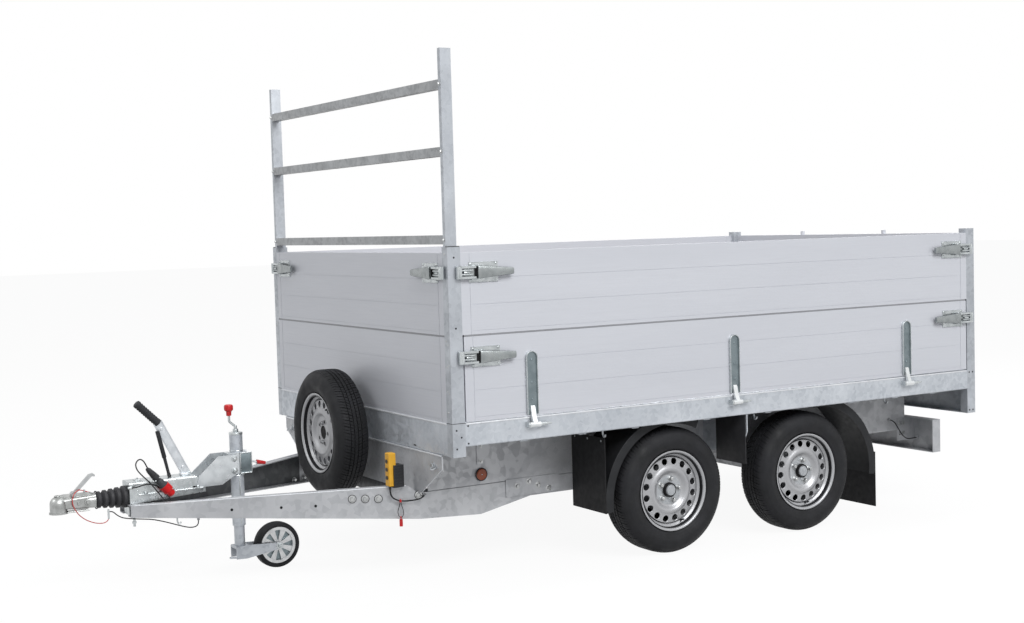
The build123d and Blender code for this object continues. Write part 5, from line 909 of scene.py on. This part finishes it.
frame_bolts = Solid()
rivets_and_shade_rings = Solid()
for ahead, z in ((270, 385), (217, 383), (163, 381), (-3, 391)):
    y, out = drawbar_web(ahead) if ahead > -10 else (BEAM_OUT, Vector(Y_AXIS))
    for side in BOTH:
        way = Vector((out.x, side * out.y, 0))
        frame_bolts.bolt(at(ahead, side * y, z), way, 19)
        # a dark ring hugging each washer: painted contact shade
        rivets_and_shade_rings.torus(Vector(at(ahead, side * y, z)) + way * 0.6, way, 18, 1.7, 32, 8)
for ahead, y, z, across in ((-524, 665, 373, 17), (-640, 665, 364, 17), (-590, 665, 388, 17),
                            (-700, 665, 344, 17), (-332, 664, 510, 12), (-332, 664, 585, 12)):
    for side in BOTH:
        frame_bolts.bolt(at(ahead, side * y, z), (0, side, 0), across)
for side in BOTH:
    for dx, z in ((20, 722), (20, 640), (44, 690), (78, 738), (78, 660)):
        rivets_and_shade_rings.dome(at(-dx, side * HALF_W, z), (0, side, 0), 4.5, 1.6)
    for dx, z in ((18, 738), (18, 530), (44, 738), (44, 530)):
        rivets_and_shade_rings.dome((REAR + dx, side * HALF_W, z), (0, side, 0), 5, 1.8)
    for y, z in ((978, 1114), (993, 1098), (978, 1000), (993, 1008), (978, 892), (993, 884), (978, 800)):
        frame_bolts.dome(at(0, side * y, z), X_AXIS, 4.5, 2)
    for height in (1558, 1942, 2234):
        frame_bolts.bolt(at(-5.6, side * 975, height), X_AXIS, 11)
    frame_bolts.dome(at(0, side * 985, 1496), X_AXIS, 5, 2.2)
    rivets_and_shade_rings.dome(at(-32, side * HALF_W, 1480), (0, side, 0), 4.5, 1.6)
    rivets_and_shade_rings.dome(at(-32, side * HALF_W, 1170), (0, side, 0), 4.5, 1.6)
    for ahead in (-3040, -3064):
        for z in (382, 436):
            frame_bolts.bolt(at(ahead, side * (BEAM_OUT + 4), z), (0, side, 0), 13)
    for place in AXLE_PLACES:
        for dx in (-55, 55):
            frame_bolts.bolt((X_FRONT - place + 150 + dx, side * 640, 395), (0, 0, -1), 17)
            frame_bolts.bolt((X_FRONT - place + 150 + dx, side * 615, 395), (0, 0, -1), 17)
for place in (400, 720, 1020, 1450, 1840, 2400, 2720, 3000):
    for side in BOTH:
        for dx in (-9, 9):
            frame_bolts.bolt((X_FRONT - place + dx, side * 628, 627), (0, 0, -1), 13)
for y in (-44, 44):
    for ahead, z in ((6, 672), (5.5, 610)):
        frame_bolts.bolt(at(ahead, y, z), X_AXIS, 15)
for ahead in (93, 24):
    y, out = drawbar_web(ahead)
    for side in BOTH:
        frame_bolts.bolt(at(ahead, side * (y - 8.2), 302), (-out.x, -side * out.y, 0), 17)
frame_bolts.piece("frame_fasteners", BOLT, "zinc_fittings")
rivets_and_shade_rings.piece("post_rivets_and_shade_rings", TRIM, "black_plastic")

# lifting eyes on the front cross plate, rope hooks under the side rails
eyes = Solid()
for side in BOTH:
    eyes.rod(at(-1, side * 820, 548), at(4, side * 820, 548), 17, sides=28, round_edge=1)
    eyes.hexagon(at(3, side * 820, 548), at(13, side * 820, 548), 22)
    eyes.torus(at(11, side * 838, 540), (0.4, side * 0.1, 0.9), 15, 3.4, 28, 10)
    for place in (830, 1745, 2640):
        x = X_FRONT - place
        hook = [(950, 648), (950, 632), (951, 622), (955, 614), (962, 611), (969, 614), (972, 621)]
        eyes.chain([(x, side * y, z) for y, z in hook], 4.6, 14)
        eyes.dome((x, side * 972, 621), Z_AXIS, 4.6, 3)
eyes.piece("lashing_eyes", HUB, "zinc_fittings")

# near-black patches that paint the shade inside slots, drain holes and punched holes
hole_shade = Solid()
for side in BOTH:
    hole_shade.box(span(-1, 0.35), (side * 630, side * 655), (617, 623))
    hole_shade.box(span(-64, 0), (side * 1009.5, side * 1010.35), (750.8, 753.2))
    hole_shade.box(span(-0.5, 0.35), (side * 958, side * 1009.6), (750.8, 753.2))
    for x in (-60, -190, -900, -1700, -2300, -2900):
        hole_shade.rod(at(x, side * (BEAM_OUT - 0.5), 600), at(x, side * (BEAM_OUT + 0.35), 600), 7, sides=24)
    hole_shade.rod(at(-980, side * (BEAM_OUT - 0.5), 470), at(-980, side * (BEAM_OUT + 0.35), 470), 11, sides=28)
    for ahead in (760, 560, 420):
        y, out = drawbar_web(ahead)
        spot = Vector(at(ahead, side * y, 360))
        way = Vector((out.x, side * out.y, 0))
        hole_shade.rod(spot - way * 0.5, spot + way * 0.35, 6.5, sides=24)
hole_shade.piece("punched_hole_shade", HOLLOW_SHADE, "black_plastic")

# ---- front controls
LEVER_BASE, LEVER_KNEE, GRIP_TIP = Vector(at(862, 0, 480)), Vector(at(998, 0, 752)), Vector(at(1096, 0, 850))
along_lever = (LEVER_KNEE - LEVER_BASE).normalized()
lever_frame = Matrix.Translation(LEVER_BASE) @ Matrix(
    (along_lever, Vector(Y_AXIS), along_lever.cross(Vector(Y_AXIS)))).transposed().to_4x4()
LEVER_L = (LEVER_KNEE - LEVER_BASE).length
lever = Solid(lever_frame)
lever.box((19, LEVER_L + 4), (-6.9, 6.9), (16.5, 20.9), 1.6)
lever.box((19, LEVER_L + 4), (-6.9, 6.9), (-20.9, -16.5), 1.6)
lever.box((19, LEVER_L + 2), (-5.2, 5.2), (-17.5, 17.5), 0.8)
for x in (60, LEVER_L - 34):
    lever.rod((x, -7.6, 0), (x, 7.6, 0), 8, sides=24, round_edge=1.2)
    lever.hexagon((x, 7, 0), (x, 12, 0), 12)
lever.place = Matrix.Identity(4)
lever.box(span(852, 902), (-18, 18), (497.5, 507), 2)
lever.piece("handbrake_blade", LEVER_LOOK, "zinc_fittings", "handbrake_lever")
grip = Solid()
out = GRIP_TIP - LEVER_KNEE
reach = out.length
line = [(-6, 15), (-4, 18.2), (0, 18.8)]
for index in range(9):
    spot = 14 + index * (reach - 34) / 8
    line += [(spot - 4.5, 18.9), (spot - 3.2, 17), (spot + 3.2, 17), (spot + 4.5, 18.9)]
line += [(reach - 8, 18.9), (reach - 3, 17.6), (reach - 0.6, 13), (reach, 6)]
grip.lathe(line, LEVER_KNEE, out, 32)
grip.piece("handbrake_grip", TRIM, "black_plastic", "handbrake_lever", smooth=30)

crank = Solid()
TUBE_TOP = 672
crank.rod(by_tube(0, 0, TUBE_TOP - 1), by_tube(0, 0, TUBE_TOP + 16), 13, sides=28, round_edge=2)
crank.rod(by_tube(0, 0, TUBE_TOP + 12), by_tube(0, 0, TUBE_TOP + 32), 7.5, sides=20, round_edge=1.2)
crank.rod(by_tube(0, -9, TUBE_TOP + 24), by_tube(0, 9, TUBE_TOP + 24), 3, sides=12, round_edge=0.8)
bend = [(0, 24), (0, 26), (5, 31), (25, 49), (30, 54), (30, 58), (30, 84)]
crank.chain([(JOCKEY_X + x, 0, TUBE_TOP + z) for x, z in bend], 5.6, 18)
crank.piece("crank_arm", ZINC, "zinc_fittings", "jockey_crank")
knob = Solid()
knob.lathe([(80, 8), (80.6, 11), (84, 12), (97, 12.4), (102, 14), (106, 19.4), (109, 20.8), (128, 20.4),
            (132, 18.6), (133.8, 14), (134, 3)], by_tube(30, 0, TUBE_TOP), Z_AXIS, 32)
for x, y in circle(20, 12):
    x = JOCKEY_X + 30 + x
    knob.rod((x, y, TUBE_TOP + 110), (x, y, TUBE_TOP + 127), 1.6, sides=8)
knob.piece("crank_knob", RED, "red_plastic", "jockey_crank", smooth=30)

clamp = Solid()
for z in (500, 556):
    for side in (-1, 1):
        clamp.bolt(by_tube(34, side * 61.5, z), (0, side, 0), 17, thread=5)
    clamp.rod(by_tube(60, 38, z), by_tube(60, 58, z), 8, sides=20)
for side in (-1, 1):
    for x0, x1, z0, z1 in ((-61, 0, 574, 578), (-61, 0, 478, 482), (-61, -57, 478, 578), (-6, 0, 478, 578)):
        clamp.box((JOCKEY_X + x0, JOCKEY_X + x1), (side * 38.4, side * 38.4 + side * 5.5), (z0, z1), 1.2)
for z in (470, 586):
    clamp.torus(by_tube(0, 0, z), Z_AXIS, 31.4, 2.4, 40, 8)
clamp.rod(by_tube(0, 0, 660), by_tube(0, 0, 672.6), 32.2, sides=40, round_edge=2)
clamp.box((JOCKEY_X - 3, JOCKEY_X + 3), (30, 33.4), (236, 470), 1)
clamp.piece("clamp_bolts", ZINC, "zinc_fittings")
# darker plates in the clamp's side recesses: painted shade
recess_shade = Solid()
for side in BOTH:
    recess_shade.box((JOCKEY_X - 56, JOCKEY_X - 7), (side * 37.6, side * 38.9), (483, 573), 0.5)
recess_shade.piece("clamp_recess_shade", RECESS_SHADE, "zinc_fittings")

coupling = Solid()
cup_x = X_FRONT + 1463
coupling.torus((cup_x, 0, 389.8), Z_AXIS, 38.8, 3.2, 48, 10)
coupling.box((X_FRONT + 1330, cup_x - 30), (-26, 26), (387.5, 393), 2)
ridge = [(1308, 451), (1330, 470), (1372, 469), (1440, 470), (1466, 467), (1481, 455), (1489, 440)]
coupling.skin([[at(x, -7, z - 16), at(x, 7, z - 16), at(x, 4.5, z), at(x, -4.5, z)] for x, z in ridge])
for x, y, z in ((1341, 29.5, 428), (1380, 24, 426)):
    for side in BOTH:
        coupling.bolt(at(x, side * y, z), (0, side, 0), 15)
coupling.dome((cup_x + 4, 0, 464), Z_AXIS, 14, 6)
coupling.piece("coupling_fittings", CAST_ZINC, "zinc_fittings")
boot = Solid()
boot.torus(at(1296, 0, 428), X_AXIS, 39, 2.6, 48, 8)
boot.torus(at(1162, 0, 428), X_AXIS, 48, 2.6, 48, 8)
boot.piece("boot_clamps", TRIM, "black_plastic")

housing = Solid()
for side in BOTH:
    for x, z in ((830, 462), (1000, 455), (1120, 455)):
        housing.dome(at(x, side * 56, z), (0, side, 0), 6, 2.6)
    housing.box(span(812, 1120), (side * 54, side * 68), (436.5, 441.5), 1.4)
    for x in (840, 960, 1085):
        housing.bolt(at(x, side * 62, 441.2), Z_AXIS, 13)
    housing.rod(at(862, side * 5, 507), at(862, side * 20, 507), 6, sides=18, round_edge=1)
housing.box(span(1090, 1120), (-20, 20), (496, 500.5), 1.5)
housing.rod(at(1105, 0, 499), at(1105, 0, 508), 4.5, sides=14, round_edge=1)
housing.piece("housing_fittings", ZINC, "zinc_fittings")
# near-black patches: painted shade in the keyhole slots
slot_shade = Solid()
for side in BOTH:
    slot_shade.rod(at(855, side * 47, 441), at(855, side * 49.5, 441), 7.9, sides=24)
    slot_shade.box(span(833.4, 855), (side * 47, side * 49.5), (437.2, 444.8))
slot_shade.piece("keyhole_shade", HOLLOW_SHADE, "black_plastic")

strut = Solid()
top, middle, low = Vector(at(1006, 17, 715)), Vector(at(978, 17, 590)), Vector(at(958, 17, 499))
axis = (middle - top).normalized()
strut.rod(top - axis * 4 + axis * 6, top + axis * 14, 8, 10.2, sides=20)
strut.rod(middle - axis * 6, middle + axis * 3, 10.4, 8, sides=24, round_edge=1)
strut.rod(middle + axis * 2, low - axis * 10, 7.6, 7, sides=22)
strut.rod(low - axis * 16, low - axis * 2, 8.5, sides=20, round_edge=1.5)
strut.rod(at(958, 8, 503), at(958, 26, 503), 7, sides=20, round_edge=1)
strut.piece("strut_ends", TRIM, "black_plastic")

sleeve = Solid()
sleeve.lathe([(-8, 17), (2, 17.5), (10, 16), (30, 14), (52, 10.5), (60, 7)], PLUG_SEAT, PLUG_WAY, 28)
for index in range(5):
    sleeve.torus(along_plug(14 + 8 * index), PLUG_WAY, 15.4 - 0.9 * index, 1.2, 28, 8)
sleeve.piece("plug_sleeve", TRIM, "black_plastic")

# jockey wheel about the Y axis: hub, ring and flat tapering spokes of pressed steel in a solid rubber tyre
JOCKEY_WHEEL = by_tube(-184, 0, 110)
SPOKES = 8
SPOKE_SHARE = 0.42        # of the disc's ring that the spokes fill
roller = Solid()
roller.lathe([(-27, 8), (-27, 24), (27, 24), (27, 8)], JOCKEY_WHEEL, Y_AXIS, 36)
roller.lathe([(-26, 73), (-26, 87), (-23, 90), (23, 90), (26, 87), (26, 73)], JOCKEY_WHEEL, Y_AXIS, 72,
             hollow=True)
for index in range(SPOKES):
    a = math.tau * (index + 0.5) / SPOKES
    w = math.tau / SPOKES * SPOKE_SHARE / 2
    corners = [(22, w * 1.9), (22, -w * 1.9), (75, -w * 1.15), (75, w * 1.15)]
    points = [(JOCKEY_WHEEL[0] + r * math.cos(a + t), JOCKEY_WHEEL[2] + r * math.sin(a + t))
              for r, t in corners]
    roller.skin([[(x, side * 21, z) for x, z in points] for side in (-1, 1)])
roller.rod((JOCKEY_WHEEL[0], -29.5, 110), (JOCKEY_WHEEL[0], 29.5, 110), 15, sides=28, round_edge=1.5)
roller.piece("roller_disc", ROLLER_STEEL, "jockey_roller", "jockey_wheel", body="jockey_roller")
band = Solid()
half = [(24, 89.6), (29.5, 91), (30, 96), (29, 102), (25, 107.5), (14, 109.6)]
band.lathe([(-y, r) for y, r in half] + [(0, 110)] + half[::-1], JOCKEY_WHEEL, Y_AXIS, 72, hollow=True)
band.piece("roller_tyre", TYRE, "jockey_roller", "jockey_wheel", body="jockey_roller")
# darker disc between the spokes: painted shade in the wheel's pockets
pocket_shade = Solid()
pocket_shade.lathe([(-11, 22), (-11, 74), (11, 74), (11, 22)], JOCKEY_WHEEL, Y_AXIS, 48)
pocket_shade.piece("roller_pocket_shade", RECESS_SHADE, "jockey_roller", "jockey_wheel", body="jockey_roller")
pivot = Solid()
for side in BOTH:
    pivot.bolt((JOCKEY_WHEEL[0], side * 41, 110), (0, side, 0), 19, thread=3)
pivot.piece("fork_axle_nuts", ZINC, "zinc_fittings", body="jockey_swivel")

# hook under the left drawbar, cable clips and ferrules
under = Solid()
hook = [(0, 330), (0, 318), (2, 308), (8, 302), (15, 304), (18, 311)]
under.chain([(X_FRONT + 975 - x, 160, z) for x, z in hook], 3.6, 12)
for x, y, z in ((1251, 35, 348), (1348, 5, 477)):
    under.rod(at(x, y, z - 7), at(x, y, z + 6), 4.2, sides=14, round_edge=0.8)
under.piece("cable_hooks", ZINC, "zinc_fittings")

# ---- lamps
def lens(solid, x0, x1, y0, y1, z0, z1, ribs=0):
    solid.box((x0, x1), (y0, y1), (z0, z1), 3)
    for index in range(ribs):
        z = z0 + (z1 - z0) * (index + 1) / (ribs + 1)
        solid.box((x0 - 0.8, x0 + 1), (y0 + 3, y1 - 3), (z - 0.6, z + 0.6))


LAMP_X = X_FRONT - 3156
housing, reds, ambers, clears = Solid(), Solid(), Solid(), Solid()
for side in BOTH:
    y0, y1 = sorted((side * 613, side * 813))
    housing.box((LAMP_X - 14, LAMP_X + 1), (y0, y1), (324, 434), 3)
    for glass, inner, outer, face, ribs in ((ambers, 757, 809, 39.5, 6), (reds, 665, 755, 39.5, 6),
                                            (clears, 617, 663, 38.5, 4)):
        low, high = sorted((side * inner, side * outer))
        lens(glass, LAMP_X - face, LAMP_X - 12, low, high, 328, 430, ribs)
    for y in (side * 640, side * 786):
        for z in (336, 422):
            clears.dome((LAMP_X - 38.6, y, z), (-1, 0, 0), 2.6, 0.8)
    marker = Vector(at(-332, side * 660, 450))
    housing.torus(marker + Vector((0, side * 5, 0)), Y_AXIS, 29, 2.6, 40, 10)
    ambers.lathe([(0, 27.5), (7, 27), (10.2, 24), (11.6, 16), (11.9, 4)], marker, (0, side, 0), 40)
    clears.dome(marker + Vector((0, side * 11, 0)), (0, side, 0), 3.2, 1.4)
housing.piece("lamp_housings", TRIM, "lamp_lens", "lamps")
reds.piece("red_lenses", RED_LENS, "lamp_lens", "lamps")
ambers.piece("amber_lenses", AMBER, "lamp_lens", "lamps")
clears.piece("clear_lenses", CLEAR_LENS, "lamp_lens", "lamps")
rear = Solid()
rear.box((LAMP_X - 3, LAMP_X + 1), (-262, 262), (322, 438), 2.5)
rear.box((LAMP_X - 26, LAMP_X), (-52, 52), (442, 462), 4)
for y in (-215, 215):
    rear.dome((LAMP_X - 2.8, y, 380), (-1, 0, 0), 5, 2)
rear.piece("plate_holder", BLACK, "black_plastic")
plate_lamp = Solid()
plate_lamp.box((LAMP_X - 22, LAMP_X - 4), (-40, 40), (438.5, 443), 1.2)
plate_lamp.piece("plate_lamp", CLEAR_LENS, "lamp_lens")

# ---- running gear seen from below and behind
gear = Solid()
gear.rod(at(-46, 0, 398), at(-1000, 0, 392), 6, sides=14)
gear.box(span(-1030, -990), (-60, 60), (386, 398), 2)
for y in (-50, 50):
    gear.rod(at(-1010, y, 392), at(-2060, y, 330), 3, sides=10)
# near-black strips inside the drawbars' channels and a panel under the front cross plate: painted shade
inside = Solid()
for side in BOTH:
    rings = []
    for ahead, low, high in ((52, 289, 428), (1125, 347.6, 391)):
        y = drawbar_web(ahead)[0] - 6
        rings.append([at(ahead, side * y, low), at(ahead, side * (y - 1.6), low),
                      at(ahead, side * (y - 1.6), high), at(ahead, side * y, high)])
    inside.skin(rings)
inside.box(span(-6, -2), (-640, 640), (338, 410), 1)
inside.piece("drawbar_painted_shade", SHADE_STEEL, "galvanised_steel")
# black plates between the tandem wheels: painted shade of the space between them
shade_aprons = Solid()
for side in BOTH:
    shade_aprons.box((-753.8, -749.5), (side * 768, side * 1000), (398, 640), 1)
shade_aprons.piece("middle_shade_aprons", RUBBER, "black_plastic")
gear.piece("brake_rods", ZINC, "zinc_fittings")
GUARD_R = 385.6           # to the rolled edge of a mudguard
GUARD_Z = 288             # height of the centre of its arc
guard_edge = Solid()
for side in BOTH:
    for place, low, high in ((1231.5, -5, 115), (2184, 85, 185)):
        path = []
        for index in range(25):
            a = math.radians(low + (high - low) * index / 24)
            path.append((X_FRONT - place + GUARD_R * math.cos(a), side * 943,
                         GUARD_Z + GUARD_R * math.sin(a)))
        guard_edge.chain(path, 1.9, 8)
        for index in range(4):
            a = math.radians(low + 12 + (high - low - 24) * index / 3)
            seat = (X_FRONT - place + 385.4 * math.cos(a), side * 676, GUARD_Z + 385.4 * math.sin(a))
            guard_edge.dome(seat, (math.cos(a), 0, math.sin(a)), 6, 2)
guard_edge.piece("guard_edges", TRIM, "black_plastic")
flap_rivets = Solid()
for side in BOTH:
    for y in (690, 800, 915):
        flap_rivets.dome(at(-842, side * y, 585), X_AXIS, 5.5, 1.4)
        flap_rivets.dome(at(-2573.2, side * y, 342), (-1, 0, 0), 5.5, 1.4)
flap_rivets.piece("flap_rivets", ZINC, "zinc_fittings")

# ---- posts, rack and boards
caps = Solid()
for side in BOTH:
    caps.box(span(-5.8, -57.9), (side * 965.5, side * 989), (2381.5, 2387.9), 2)
    caps.box(span(-1, -63), (side * 1009.5, side * 991), (1524.5, 1529.5), 1.5)
caps.piece("post_caps", TRIM, "black_plastic")

seals = Solid()
for side in BOTH:
    seals.box((REAR + 68, X_FRONT - 72), (side * 988, side * 1008.6), (1131.3, 1138.9), 1.2)
seals.box(span(-22, -1.4), (-955, 955), (1131.3, 1138.9), 1.2)
seals.piece("board_seals", SEAM, "aluminium_board")

# rolled lips along the rails and the cross plate, and thin rods along the drawbars' top edges, in a lighter
# colour that paints their highlight
lip_highlights = Solid()
for side in BOTH:
    lip_highlights.box((REAR + 64, X_FRONT - 66), (side * 1006, side * 1012.5), (743, 750.5), 2)
lip_highlights.box(span(-2, 4.5), (-958, 958), (743, 751), 2)
lip_highlights.box(span(-1, 7), (-902, 902), (596, 603), 2)
for side in BOTH:
    lip_highlights.chain([at(0.6, side * y, z) for y, z in ((905, 596), (905, 540), (690, 404))], 2, 8)
for side in BOTH:
    ends = [at(ahead, side * (drawbar_web(ahead)[0] - 2.6), z) for ahead, z in ((48, 435), (1150, 397))]
    lip_highlights.chain(ends, 2.8, 8)
lip_highlights.piece("sheet_lip_highlights", EDGE_HIGHLIGHT, "galvanised_steel")

# ---- floor, backdrop and light
def white_to_camera(tree, shaded, amount):
    """Mixes white light into what the camera, gloss and glass see of a surface, and keeps its shading."""
    path = tree.nodes.new("ShaderNodeLightPath")
    seen = path.outputs["Is Camera Ray"]
    for ray in ("Is Glossy Ray", "Is Transmission Ray"):
        more = tree.nodes.new("ShaderNodeMath")
        more.operation = "MAXIMUM"
        tree.links.new(seen, more.inputs[0])
        tree.links.new(path.outputs[ray], more.inputs[1])
        seen = more.outputs[0]
    glow = tree.nodes.new("ShaderNodeEmission" if amount < 1 else "ShaderNodeBackground")
    glow.inputs["Strength"].default_value = 1
    glow.inputs["Color"].default_value = (1, 1, 1, 1)
    share = tree.nodes.new("ShaderNodeMath")
    share.operation = "MULTIPLY"
    share.inputs[1].default_value = amount
    tree.links.new(seen, share.inputs[0])
    mixed = tree.nodes.new("ShaderNodeMixShader")
    tree.links.new(share.outputs[0], mixed.inputs[0])
    tree.links.new(shaded, mixed.inputs[1])
    tree.links.new(glow.outputs[0], mixed.inputs[2])
    return mixed.outputs[0]


def make_floor():
    mesh = bpy.data.meshes.new("floor_plane")
    half = 60
    corners = [(-half, -half, 0), (half, -half, 0), (half, half, 0), (-half, half, 0)]
    mesh.from_pydata(corners, [], [(0, 1, 2, 3)])
    plane = bpy.data.objects.new("studio_floor", mesh)
    plane.location.z = -0.0005
    add_to_scene(plane)
    look = bpy.data.materials.new("studio_floor")
    look.use_nodes = True
    tree = look.node_tree
    shader, output = tree.nodes["Principled BSDF"], tree.nodes["Material Output"]
    shader.inputs["Base Color"].default_value = (0.30, 0.30, 0.30, 1)
    shader.inputs["Roughness"].default_value = 0.9
    pale = tree.nodes.new("ShaderNodeBsdfDiffuse")
    pale.inputs["Color"].default_value = (0.92, 0.92, 0.92, 1)
    seen = tree.nodes.new("ShaderNodeLightPath").outputs["Is Camera Ray"]
    both = tree.nodes.new("ShaderNodeMixShader")
    tree.links.new(seen, both.inputs[0])
    tree.links.new(shader.outputs[0], both.inputs[1])
    tree.links.new(pale.outputs[0], both.inputs[2])
    tree.links.new(white_to_camera(tree, both.outputs[0], 0.93), output.inputs[0])
    mesh.materials.append(look)


def make_world():
    world = bpy.data.worlds.new("studio")
    bpy.context.scene.world = world
    world.use_nodes = True
    tree = world.node_tree
    soft = tree.nodes["Background"]
    coords = tree.nodes.new("ShaderNodeTexCoord")
    split = tree.nodes.new("ShaderNodeSeparateXYZ")
    ramp = tree.nodes.new("ShaderNodeMapRange")
    set_range(ramp, (-0.2, 0.9), (0.16, 0.66))
    tree.links.new(coords.outputs["Generated"], split.inputs[0])
    tree.links.new(split.outputs["Z"], ramp.inputs["Value"])
    tree.links.new(ramp.outputs[0], soft.inputs["Strength"])
    soft.inputs["Color"].default_value = (0.97, 0.985, 1, 1)
    tree.links.new(white_to_camera(tree, soft.outputs[0], 1), tree.nodes["World Output"].inputs[0])


def make_lamp(name, place, target, width, height, power, colour=(1, 1, 1), seen=True):
    data = bpy.data.lights.new(name, "AREA")
    data.shape, data.size, data.size_y, data.energy, data.color = "RECTANGLE", width, height, power, colour
    lamp = bpy.data.objects.new(name, data)
    lamp.location = place
    lamp.visible_camera = seen
    lamp.rotation_euler = (Vector(target) - Vector(place)).to_track_quat("-Z", "Y").to_euler()
    add_to_scene(lamp)


make_floor()
make_world()
make_lamp("key", (0, 12.5, 10.8), (-0.5, 0.3, 0.9), 11.2, 6.4, 1990)
make_lamp("bed", (-0.75, 0.75, 3.7), (-0.75, -1, 1.3), 3.4, 0.5, 40, seen=False)
make_lamp("front", (7.5, -1.5, 5.5), (0.5, 0, 0.8), 4, 3, 105)
make_lamp("rear", (-6, -5, 5.5), (-0.5, 0, 0.8), 4, 3, 200)
bpy.context.scene.view_settings.view_transform = "Standard"
